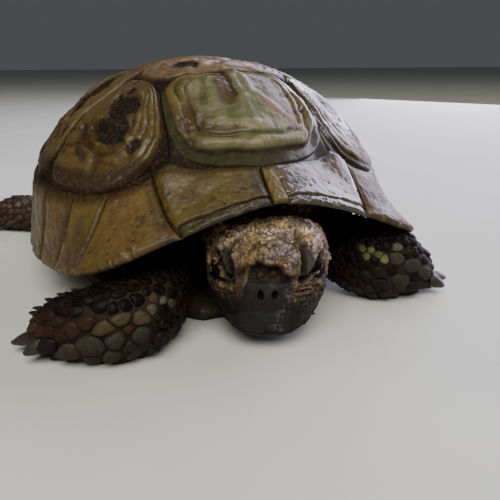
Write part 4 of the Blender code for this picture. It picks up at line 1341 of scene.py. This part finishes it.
FORE_CLAWS = ((-0.65, -35, 0.55), (-0.22, 0, 1.0), (0.22, 20, 0.95), (0.65, 42, 0.85))
HIND_CLAWS = ((-0.65, -25, 0.85), (-0.22, -6, 1.0), (0.22, 12, 1.0), (0.65, 30, 0.9))
CLAW_LENGTH = 12.0
CLAW_RADIUS = 2.95
CLAW_START = 1.2  # how far past a claw's root its horn begins
CLAW_BASE, CLAW_CLEAR = 3.2, 2.9  # scales keep this clear of a claw from its base to its tip
PAW_HALVES = {"arm_right": 7.2, "arm_left": 7.3, "leg_right": 9, "leg_left": 8.5}
BIG_SCALES = {  # place, width, length against width and colour of the largest scales of each forelimb
    "arm_right": (
        ((-61.7, -69.9, 6.2), 5.0, 1.2, "dark"), ((-56.8, -73.2, 4.9), 6.0, 1.45, "plate"),
        ((-50.6, -77.4, 8.0), 5.8, 1.45, "plate"), ((-45.3, -79.4, 9.6), 5.4, 1.3, "plate"),
        ((-38.9, -79.1, 9.5), 4.8, 1.15, "plate"), ((-33.6, -77.3, 7.0), 5.0, 1.1, "dark"),
        ((-47.6, -78.3, 12.8), 4.2, 1.6, "ochre"), ((-43.5, -79.1, 14.4), 3.8, 1.5, "ochre"),
        ((-38.5, -78.8, 13.8), 3.6, 1.3, "ochre"), ((-42.0, -79.4, 12.0), 2.6, 1.2, "brown"),
        ((-55.3, -74.6, 11.7), 3.4, 1.1, "brown"), ((-52.0, -76.1, 14.1), 3.0, 1.3, "brown"),
        ((-35.3, -78.1, 15.3), 2.3, 1.0, "pale"), ((-32.1, -75.8, 16.8), 2.0, 1.0, "pale"),
        ((-34.9, -75.9, 18.4), 2.2, 1.0, "ochre"), ((-30.0, -74.4, 15.0), 2.2, 1.0, "ochre"),
    ),
    "arm_left": (
        ((42.0, -71.5, 16.0), 4.2, 1.5, "plate"), ((47.6, -72.0, 13.6), 4.6, 1.6, "plate"),
        ((53.6, -71.5, 10.0), 4.8, 1.5, "plate"), ((37.3, -70.6, 12.4), 4.0, 1.4, "dark"),
        ((44.6, -71.9, 8.6), 4.8, 1.5, "plate"), ((50.6, -71.6, 5.6), 4.8, 1.4, "dark"),
        ((38.0, -70.4, 7.4), 4.6, 1.3, "dark"), ((33.3, -68.7, 10.4), 3.6, 1.3, "dark"),
        ((32.8, -66.5, 19.4), 2.0, 1.1, "green"), ((34.7, -68.2, 19.0), 2.1, 1.1, "green"),
        ((36.7, -69.6, 18.0), 2.2, 1.2, "green"), ((38.5, -70.4, 16.6), 2.3, 1.2, "green"),
        ((34.4, -67.6, 17.0), 2.0, 1.0, "green"), ((42.7, -70.0, 19.3), 2.8, 1.4, "pale"),
    ),
}
SCALE_COLOURS = {
    "plate": (0.034, 0.030, 0.021), "dark": (0.011, 0.008, 0.007), "ochre": (0.070, 0.052, 0.025),
    "brown": (0.034, 0.016, 0.009), "pale": (0.080, 0.070, 0.050), "green": (0.125, 0.122, 0.045),
}
SPURS = {  # place along the forearm's middle line, turn round it from the top and length
    "arm_right": (
        (3.7, 12, 2.6), (4.2, 6, 3.0), (4.7, 10, 3.3), (5.2, 4, 3.3), (5.7, 10, 3.0), (6.2, 4, 2.6),
        (6.6, 10, 2.2),
    ),
    "arm_left": (
        (3.6, -12, 2.4), (4.2, -6, 2.8), (4.8, -10, 3.0), (5.3, -4, 3.0), (5.8, -10, 2.6),
        (6.3, -4, 2.2),
    ),
}
SPUR_RINGS = ((0.0, 2.3), (0.35, 2.0), (0.7, 1.2), (0.92, 0.45))  # share of its length and half width
SPUR_SIDES = 10
SPUR_ROOT = 1.6  # how deep in the arm a spur is rooted
SCALE_RINGS = ((1.0, -1.0, 0.0), (0.95, 0.0, 0.50), (0.70, 0.0, 0.92))  # share, how sunk, how high
PATCH_SIZE = 0.003  # width of a scale's patch on the skin's unwrap
NEIGHBOURS = 13  # how many of the nearest scales shape an outline
ROUNDING = 9  # how sharp the corners of an outline are
WIDEST = 0.80  # half width of a scale with no neighbours, against its spacing
BY_HAND = -99  # rank of the scales that are placed first
LIMBS = {
    "arm_right": (RIGHT_ARM, FORE_CLAWS), "arm_left": (LEFT_ARM, FORE_CLAWS),
    "leg_right": (RIGHT_LEG, HIND_CLAWS), "leg_left": (LEFT_LEG, HIND_CLAWS),
}


def unwrap(skin):
    """Lays the skin flat and gives the place on it of each of its faces."""
    with editing(skin):
        bpy.ops.uv.smart_project(angle_limit=math.radians(66), island_margin=0.002)
    layer = skin.data.uv_layers[0]
    layer.name = "OFBake"
    corner = read(layer.data, "uv", 2)
    first = read(skin.data.polygons, "loop_start", 1, np.int32)
    sides = np.diff(np.append(first, len(corner)))
    return np.add.reduceat(corner, first, axis=0) / sides[:, None]


def scatter(points, spacing, first=()):
    """Places picked all over the points, the widest spaced first, none closer than its spacing."""
    rank = -np.round(spacing)
    rank[list(first)] = BY_HAND
    order = np.lexsort((RANDOM.random(len(points)), rank))
    taken = np.empty((len(points), 3))
    reach = np.empty(len(points))
    kept = []
    for i in order:
        count = len(kept)
        gap = ((taken[:count] - points[i]) ** 2).sum(1)
        if rank[i] == BY_HAND or (gap > (0.5 * (reach[:count] + spacing[i])) ** 2).all():
            taken[count], reach[count] = points[i], spacing[i]
            kept.append(i)
    return np.array(kept)


def outlines(roots, normals, lie, spacing, gap, point, stretch, sides):
    """The rounded outline of each scale between its neighbours, and the frame it lies in."""
    e1 = lie - normals * (lie * normals).sum(1, keepdims=True)
    e1 /= np.maximum(np.linalg.norm(e1, axis=1, keepdims=True), 1e-6)
    e2 = np.cross(normals, e1)
    near = min(NEIGHBOURS, len(roots))
    tree = KDTree(len(roots))
    for i, root in enumerate(roots):
        tree.insert(root, i)
    tree.balance()
    others = np.array([[found[1] for found in tree.find_n(root, near)][1:] for root in roots])
    away = roots[others] - roots[:, None]
    x, y = (away * e1[:, None]).sum(2), (away * e2[:, None]).sum(2)
    x = x / stretch[:, None]
    length = np.maximum(np.hypot(x, y), 1e-6)
    border = length * spacing[:, None] / (spacing[:, None] + spacing[others]) - gap[:, None] / 2
    facing_away = (normals[others] * normals[:, None]).sum(2) < 0.1
    border = np.where(facing_away, 99.0, np.maximum(border, 0.15 * spacing[:, None]))
    angle = np.linspace(0, 2 * math.pi, sides, endpoint=False)
    ray = np.stack([np.cos(angle), np.sin(angle)], -1)
    cosine = (x[..., None] * ray[:, 0] + y[..., None] * ray[:, 1]) / length[..., None]
    cap = WIDEST * spacing[:, None]
    pull = (np.clip(cosine, 0, 1) / border[..., None]) ** ROUNDING
    radius = (pull.sum(1) + (1 / cap) ** ROUNDING) ** (-1 / ROUNDING)
    turned = (angle + math.pi) % (2 * math.pi) - math.pi
    radius = radius * (1 + point[:, None] * hill(turned, 0.45))
    flat = radius[..., None] * ray
    flat[..., 0] *= stretch[:, None]
    return flat, e1, e2


def scale_faces(count, sides):
    """Corners of every face of many scales, each a base, rings of sides and a top point."""
    rings = len(SCALE_RINGS)
    ahead = [(j + 1) % sides for j in range(sides)]
    quads = [
        (k + j, k + ahead[j], k + sides + ahead[j], k + sides + j)
        for k in range(0, (rings - 1) * sides, sides)
        for j in range(sides)
    ]
    last = (rings - 1) * sides
    tris = [(last + j, last + ahead[j], rings * sides) for j in range(sides)]
    base = [tuple(range(sides - 1, -1, -1))]
    start = (np.arange(count) * (rings * sides + 1))[:, None, None]
    faces = []
    for group in (quads, tris, base):
        group = np.array(group)
        faces += (start + group).reshape(-1, group.shape[1]).tolist()
    return faces


def scale_coat(name, roots, normals, lie, spacing, tint, skin_tree, places, look, sides):
    """One joined mesh of closed horny scales that stand on the skin."""
    shape = look["gap"], look["point"], look["stretch"]
    flat, e1, e2 = outlines(roots, normals, lie, spacing, *shape, sides)
    edge = roots[:, None] + flat[..., :1] * e1[:, None] + flat[..., 1:] * e2[:, None]
    drop = np.empty(edge.shape)
    root_place = np.empty((len(roots), 2))
    for i, root in enumerate(roots):
        root_place[i] = places[skin_tree.find_nearest(Vector(root))[2]]
        for j, corner in enumerate(edge[i]):
            drop[i, j] = np.array(skin_tree.find_nearest(Vector(corner))[0]) - corner
    size = np.linalg.norm(flat, axis=2).max(1)
    rings, shares, spots = [], [], []
    for share, sunk, lift in SCALE_RINGS:
        rise = lift * look["dome"][:, None] + sunk * look["sink"][:, None]
        tilt = look["tilt"][:, None] * np.clip(flat[..., 0] * share / size[:, None], -1, 1)
        rise = rise + tilt * (lift > 0)
        points = roots[:, None] + share * (edge - roots[:, None]) + share**2 * drop
        chips = look["rough"] * spacing[:, None, None] * RANDOM.normal(size=points.shape)
        rings.append(points + rise[..., None] * normals[:, None] + chips)
        shares.append(np.full(rise.shape, share))
        spots.append(flat * share)
    top = roots + normals * look["dome"][:, None]
    points = np.concatenate([*rings, top[:, None]], axis=1)
    share = np.concatenate([*shares, np.zeros((len(roots), 1))], axis=1)
    spot = np.concatenate([*spots, np.zeros((len(roots), 1, 2))], axis=1) / (2 * size[:, None, None])
    points[..., 2] = np.maximum(points[..., 2], FLOOR_GAP)
    obj = new_mesh(name, points.reshape(-1, 3), scale_faces(len(roots), sides))
    set_tint(obj, np.repeat(tint, points.shape[1], axis=0))
    set_number(obj, "ring", share.ravel())
    set_number(obj, "dust", np.full(share.size, look["dust"]))
    patches = (root_place[:, None] + PATCH_SIZE * spot).reshape(-1, 2)
    corner = read(obj.data.loops, "vertex_index", 1, np.int32)
    layer = obj.data.uv_layers.new(name="OFBake")
    layer.data.foreach_set("uv", patches[corner].astype(np.float32).ravel())
    return place_piece(obj, "skin", ARM_SCALE if name.startswith("arm") else SCALE)


def lie_of(points, name):
    """The way that scales point: down each limb and tail, and back over head and neck."""
    rows = np.array(LINES[name], float)
    _, place, _ = along(points, rows)
    steps = unit(np.diff(rows[:, :3], axis=0))
    return steps[np.clip(place.astype(int), 0, len(steps) - 1)]


def head_scales(points):
    """Where scales grow on the head and how wide they are."""
    q = head_frame(points)
    marks = head_marks(q)
    behind = ramp(q[:, 1], -8, 4)
    spacing = 0.78 + 0.9 * behind + 0.28 * hills(points, 1.5, 61)
    free = ramp(hills(points, 2.2, 62) + 0.8 * behind, -0.1, 0.0) > 0.5
    bare = (marks["crust"] < 0.9) | (marks["slit"] < 1.6)
    bare |= (crust_height(q)[1] < 0.55) & (behind < 0.5)
    for path, width, _ in FOLDS + RIDGES:
        bare |= face_distance(q, path) < 2.2 * width
    horn = (q[:, 2] < -3.5) & (q[:, 1] < -13.5)
    return spacing, free & ~(bare | horn) & (q[:, 1] < 17)


def arm_spacing(points, normal, name):
    side = -1 if name == "arm_right" else 1
    _, place, _ = along(points, LINES[name])
    front = ramp(normal @ np.array([side * 0.15, -0.93, -0.25]), -0.25, 0.35)
    fore = ramp(place, 2.2, 3.6)
    low = ramp(-points[:, 2], -7.5, -4.0)
    wide = 1.9 + fore * front * (1.0 + 1.4 * low) + 0.7 * hills(points, 4, 71)
    return wide * (1 - 0.25 * ramp(place, 5.6, 6.6)), place, front


def claw_poses(name):
    """Root, direction and length of each claw of a limb, as the CAD model has them."""
    rows, claws = LIMBS[name]
    wrist, end = Vector(rows[-2][:3]), Vector(rows[-1][:3])
    side = 1 if end.x < 0 else -1
    forward = (end - wrist).normalized()
    behind = side * forward.cross((0, 0, 1)).normalized()
    for place, turn, share in claws:
        direction = Vector((forward.x, forward.y, -0.12)).normalized()
        direction.rotate(Matrix.Rotation(math.radians(-side * turn), 3, "Z"))
        root = wrist + behind * PAW_HALVES[name] * place
        root.z = max(wrist.z - 1.5, 3.1)
        yield root, direction, CLAW_LENGTH * share


def fill_with_scales(name, spot, normal):
    """Where the scales of one part stand: the number of each one's point, and its spacing."""
    grows = np.ones(len(spot), bool)
    if name == "head":
        spacing, grows = head_scales(spot)
    elif name.startswith("arm"):
        spacing = arm_spacing(spot, normal, name)[0]
    elif name.startswith("leg"):
        spacing = 2.5 + 0.6 * hills(spot, 7, 72)
    else:
        spacing = 1.9 + 0.4 * hills(spot, 6, 73)
    if name in LIMBS:
        for root, direction, length in claw_poses(name):
            claw = (root + direction * CLAW_BASE, root + direction * length)
            grows &= path_distance(spot, claw) > CLAW_CLEAR
    free = np.flatnonzero(grows)
    spot, spacing = spot[free], spacing[free]
    rows = BIG_SCALES.get(name, ())
    first = [int(((spot - np.array(row[0])) ** 2).sum(1).argmin()) for row in rows]
    for index, row in zip(first, rows):
        spacing[index] = row[1] * (0.95 + 0.35 * (row[2] - 1))
    kept = scatter(spot, spacing, first)
    for index, row in zip(first, rows):
        spacing[index] = row[1]
    by_hand = {int(np.flatnonzero(kept == i)[0]): row for i, row in zip(first, rows) if i in kept}
    return free[kept], spacing[kept], by_hand


def coat(skin):
    """The scales of head, neck, limbs and tail."""
    places = unwrap(skin)
    all_points, normals = points_of(skin), normals_of(skin)
    polygons = [tuple(p.vertices) for p in skin.data.polygons]
    skin_tree = BVHTree.FromPolygons(all_points.tolist(), polygons)
    part = parts_of(all_points)
    for name in LINES:
        head, arm = name == "head", name.startswith("arm")
        spot, normal = all_points[part == name], normals[part == name]
        kept, spacing, by_hand = fill_with_scales(name, spot, normal)
        spot, normal = spot[kept], normal[kept]
        chance = RANDOM.random((len(spot), 3))
        if head:
            tint, spread, sides = face_tint(head_frame(spot)), 0.25, 7
            look = {
                "gap": 0.08 * spacing, "dome": spacing * (0.02 + 0.08 * chance[:, 0]),
                "tilt": 0.12 * spacing * (chance[:, 1] - 0.5), "dust": 0.6, "rough": 0.07,
            }
        else:
            tint, spread, sides = limb_tint(spot) * (0.34 if arm else 2.6), 0.9, 12 if arm else 8
            look = {
                "gap": 0.05 * spacing, "dome": spacing * (0.15 + 0.10 * chance[:, 0]),
                "tilt": 0.13 * spacing * (1 if name in LIMBS else 0.4), "dust": 0.04, "rough": 0.02,
            }
        look["sink"] = 0.3 + 0.08 * spacing
        look["stretch"] = np.ones(len(spot))
        look["point"] = np.zeros(len(spot))
        if arm:
            _, place, front = arm_spacing(spot, normal, name)
            out = -0.5 if name == "arm_right" else 0.5
            outer = ramp(normal @ np.array([out, 0.3, 0.8]), 0.35, 0.7)
            look["point"] = 0.8 * outer * ramp(place, 2.8, 3.6)
            look["tilt"] = look["tilt"] * (1 + 1.2 * outer)
            tint = arm_scale_tint(spot, tint, place, front)
            # painted shade: forelimb scales darkened with height, towards the shell's rim above them
            tint = tint * (1 - 0.65 * ramp(spot[:, 2], 11, 19))[:, None]
        tint = tint * (1 - 0.5 * spread + spread * chance[:, 2:] ** 1.5)
        for i, (_, _, stretch, colour) in by_hand.items():
            tint[i] = np.array(SCALE_COLOURS[colour]) * (0.8 + 0.4 * chance[i, 2])
            look["stretch"][i] = stretch
            look["dome"][i] = 0.24 * spacing[i]
            look["tilt"][i] = 0.1 * spacing[i]
        lie = lie_of(spot, name)
        scale_coat(
            f"{name}_scales", spot, normal, lie, spacing, tint, skin_tree, places, look, sides
        )


def arm_scale_tint(points, tint, place, front):
    """Reddish brown scales over the hand, grey ones along the forearm's foot."""
    hand = 0.6 * front * ramp(place, 4.6, 5.4) * ramp(points[:, 2], 7, 10)
    foot = 0.8 * front * ramp(-points[:, 2], -9, -5)
    return paint(tint, (SCALE_GREY, foot), (HAND_BROWN, hand))


def spurs():
    """Pointed horny scales that stand out along the outer edge of each forearm."""
    for name, table in SPURS.items():
        rows = np.array(LIMBS[name][0], float)
        steps = np.arange(len(rows))
        out = -1 if name == "arm_right" else 1
        points, faces = [], []
        for place, turn, length in table:
            middle, later = (
                np.array([np.interp(q, steps, rows[:, k]) for k in range(3)])
                for q in (place, place + 0.3)
            )
            ahead = unit(later - middle)
            lean = math.radians(turn)
            side = np.array([out * 0.35, 0.60 * math.cos(lean), 0.70 + 0.60 * math.sin(lean)])
            side = unit(side - ahead * (side @ ahead))
            across = np.cross(ahead, side)
            root = middle + side * (np.interp(place, steps, rows[:, 3]) - SPUR_ROOT)
            tip = root + side * (SPUR_ROOT + 0.22 * length) + ahead * 1.5 * length
            start = len(points)
            for share, wide in SPUR_RINGS:
                centre = root + (tip - root) * share + side * 0.4 * math.sin(math.pi * share)
                for k in range(SPUR_SIDES):
                    angle = 2 * math.pi * k / SPUR_SIDES
                    spoke = across * math.cos(angle) + 0.45 * side * math.sin(angle)
                    points.append(centre + wide * spoke)
            points.append(tip)
            end = len(points) - 1
            around = [(k, (k + 1) % SPUR_SIDES) for k in range(SPUR_SIDES)]
            for ring in range(start, end - SPUR_SIDES, SPUR_SIDES):
                above = ring + SPUR_SIDES
                faces += [(ring + a, ring + b, above + b, above + a) for a, b in around]
            faces += [(end - SPUR_SIDES + a, end - SPUR_SIDES + b, end) for a, b in around]
            faces.append(tuple(range(start + SPUR_SIDES - 1, start - 1, -1)))
        obj = new_mesh(f"{name}_spurs", np.array(points), faces)
        with editing(obj):
            face_outward()
        set_tint(obj, plain(SPUR_HORN, len(points)))
        place_piece(obj, "dark_horn", CLAW_HORN)


def claws():
    """Stout dark claws, rounded above and bent down to blunt tips."""
    for name, (rows, _) in LIMBS.items():
        for i, (root, direction, length) in enumerate(claw_poses(name)):
            obj, u, w = unit_grid(f"{name}_claw_{i + 1}", 20, 24)
            stretch = np.clip(w * 1.04 - 0.02, 0, 1)
            taper = np.clip(1 - stretch**1.7, 0, 1) ** 0.62 * CLAW_RADIUS + 0.02
            taper = np.where((w < 1e-6) | (w > 1 - 1e-6), 0.0, taper)
            turn = 2 * math.pi * u
            x = taper * np.cos(turn) * 1.05
            z = taper * np.sin(turn) * np.where(np.sin(turn) < 0, 0.72, 0.95)
            forward = np.array(direction)
            across = unit(np.cross(forward, (0, 0, 1)))
            up = np.cross(across, forward)
            start = np.array(root) + forward * CLAW_START
            points = start + forward * (stretch * (length - CLAW_START))[:, None]
            points = points + across * x[:, None]
            points = points + up * (z - stretch**2 + 0.5)[:, None]
            points[:, 2] = np.maximum(points[:, 2], FLOOR_GAP)
            put_points(obj, points)
            weld(obj)
            spot = points_of(obj)
            share = np.clip((spot - start) @ forward / length, 0, 1)
            root_share, tip_share = 1 - ramp(share, 0.2, 0.5), 0.5 * ramp(share, 0.8, 1.0)
            horn = plain(CLAW_BROWN if i == 2 else CLAW_OLIVE, len(spot))
            set_tint(obj, paint(horn, (HIDE_BROWN, root_share), (NEAR_BLACK, tip_share)))
            place_piece(obj, "dark_horn", CLAW_HORN)


# ---------------------------------------------------------------- plastron

GAP = 0.35
PLASTRON_FRONT, PLASTRON_REAR = -60.0, 62.0
PLASTRON_THICKNESS = 4.4
LOBE_WIDTH, LOBE_REACH = 38.0, 66.0
BRIDGE_REACH, BRIDGE_START, BRIDGE_END = 27.0, 42.0, 60.0
NOTCH_DEPTH = 4.0
SCUTE_THICKNESS = 3.0
PLASTRON_SEAMS = (-48.0, -29.0, -8.0, 22.0, 44.0)  # between gulars, humerals and so on to the anals


def plastron():
    """The flat belly plate: five seams across, one along, growth rings, dark blots and a front end painted
    near black as shade.
    """
    obj, u, v = unit_grid("plastron_horn", 190, 200)
    y = PLASTRON_FRONT + (PLASTRON_REAR - PLASTRON_FRONT) * v
    across = 2 * u - 1
    lobe = LOBE_WIDTH * (1 - np.abs(y / LOBE_REACH) ** 2.6) ** 0.5
    rim_x = (1 - np.abs(y / (SHELL_LENGTH / 2)) ** RIM_POWER) ** (1 / RIM_POWER)
    rim_x = SHELL_WIDTH / 2 * rim_x
    bridge = hill(y, BRIDGE_REACH, 6)
    half = lobe + (rim_x - SCUTE_THICKNESS - 2 * GAP - lobe) * bridge
    x = across * half
    notch = NOTCH_DEPTH * np.clip(1 - np.abs(across) / 0.35, 0, 1)
    y = y + notch * (np.clip(1 - 6 * v, 0, 1) - np.clip(6 * v - 5, 0, 1))
    climb = np.clip((np.abs(x) - BRIDGE_START) / (BRIDGE_END - BRIDGE_START), 0, 1.2)
    top = RIM_HEIGHT - 2 * GAP
    z = np.minimum(top * climb**2 * (3 - 2 * climb), top)
    points = np.stack([x, y, z], -1)
    wander = 0.5 * hills(points, 6, 91)
    gap = np.abs(x + wander)
    for place in PLASTRON_SEAMS:
        gap = np.minimum(gap, np.abs(y + wander - place - 0.12 * np.abs(x)))
    seam = 1 - ramp(gap, 0.15, 0.75)
    rings = np.abs(np.sin(gap * 1.1 + 0.8 * hills(points, 8, 92)))
    worn = 0.12 * (1 - rings) + 0.1 * np.clip(rough(points, 5, 93), 0, 1) + 0.55 * seam
    points[:, 2] += worn
    put_points(obj, points)
    blots = ramp(rough(points, 16, 94) + 0.045 * gap, 0.0, 0.45)
    # painted shade: the plastron's front end, under the shell's front, painted near black
    front = 1 - ramp(y, -52, -38)
    tint = paint(
        plain(BELLY_YELLOW, len(x)),
        (UMBER, 0.6 * ramp(rough(points, 9, 95), 0, 0.8)),
        # near black on the dark blots, and as painted shade on the front end
        (NEAR_BLACK, 0.9 * np.maximum(blots, front)),
        (PLUM, 0.8 * seam),
    )
    set_tint(obj, tint)
    set_number(obj, "ring", gap / 30)
    close_back(obj, PLASTRON_THICKNESS * 0.8 * MM, (0.985, 0.985, 1), (0, 0, 0))
    place_piece(obj, "plastron", BELLY_HORN, "plastron")


# ---------------------------------------------------------------- stage


CAMERA_PLACE = (-51.9, -193.2, 73.5)
CAMERA_TURN = (-20.35, 20.21, -0.29)  # azimuth, elevation and roll in degrees
FLOOR_COLOURS = (0.50, 0.51, 0.47), (0.55, 0.56, 0.51)
SKY, SKY_STRENGTH = (0.80, 0.86, 0.92, 1), 0.09
LIGHTS = (  # name, place, target, size, power and colour, in metres and watts
    ("ceiling", (-0.32, -0.90, 1.30), (0, -0.02, 0.03), (1.3, 1.0), 36.0, (1.0, 0.96, 0.88)),
    ("window", (0.70, 0.29, 0.38), (0.02, -0.03, 0.04), (1.1, 0.85), 18.0, (0.80, 0.76, 1.0)),
)


def camera():
    """The camera: low in front of the head, a little to the animal's right."""
    azimuth, elevation, roll = (math.radians(a) for a in CAMERA_TURN)
    level = math.cos(elevation)
    back = Vector((math.sin(azimuth) * level, -math.cos(azimuth) * level, math.sin(elevation)))
    turn = back.to_track_quat("Z", "Y").to_matrix() @ Matrix.Rotation(roll, 3, "Z")
    data = bpy.data.cameras.new("camera")
    data.lens, data.sensor_width = 36.0, 36.0
    data.clip_start = 0.01
    obj = bpy.data.objects.new("camera", data)
    obj.matrix_world = Matrix.Translation(Vector(CAMERA_PLACE) * MM) @ turn.to_4x4()
    bpy.context.scene.collection.objects.link(obj)
    bpy.context.scene.camera = obj


def soft_light(name, place, target, size, power, colour):
    data = bpy.data.lights.new(name, "AREA")
    data.shape = "RECTANGLE"
    data.size, data.size_y = size
    data.energy = power
    data.color = colour
    obj = bpy.data.objects.new(name, data)
    obj.location = place
    obj.rotation_euler = (Vector(target) - Vector(place)).to_track_quat("-Z", "Y").to_euler()
    obj.visible_camera = False
    bpy.context.scene.collection.objects.link(obj)


def stage():
    """A pale floor, a dim sky and two soft lights."""
    pick_nothing()
    bpy.ops.mesh.primitive_plane_add(size=30, location=(0, 0, 0))
    floor = bpy.context.object
    floor.name = "floor"
    shader = Shader("pale floor")
    shade = shader.noise(60, 2)
    colour = shader.blend(shader.range(shade, 0.3, 0.7), *FLOOR_COLOURS)
    grain = shader.bump(shader.noise(2, 3), 0.05, 0.2)
    floor.data.materials.append(shader.finish(colour, 0.8, grain))
    world = bpy.data.worlds.new("studio")
    world.use_nodes = True
    background = world.node_tree.nodes["Background"]
    background.inputs["Color"].default_value = SKY
    background.inputs["Strength"].default_value = SKY_STRENGTH
    bpy.context.scene.world = world
    for light in LIGHTS:
        soft_light(*light)


camera()
stage()
vertebral_plates()
costal_plates(-1, "right")
costal_plates(1, "left")
marginal_plates()
plastron()
skin = hide()
beak(skin)
eyes()
coat(skin)
spurs()
claws()
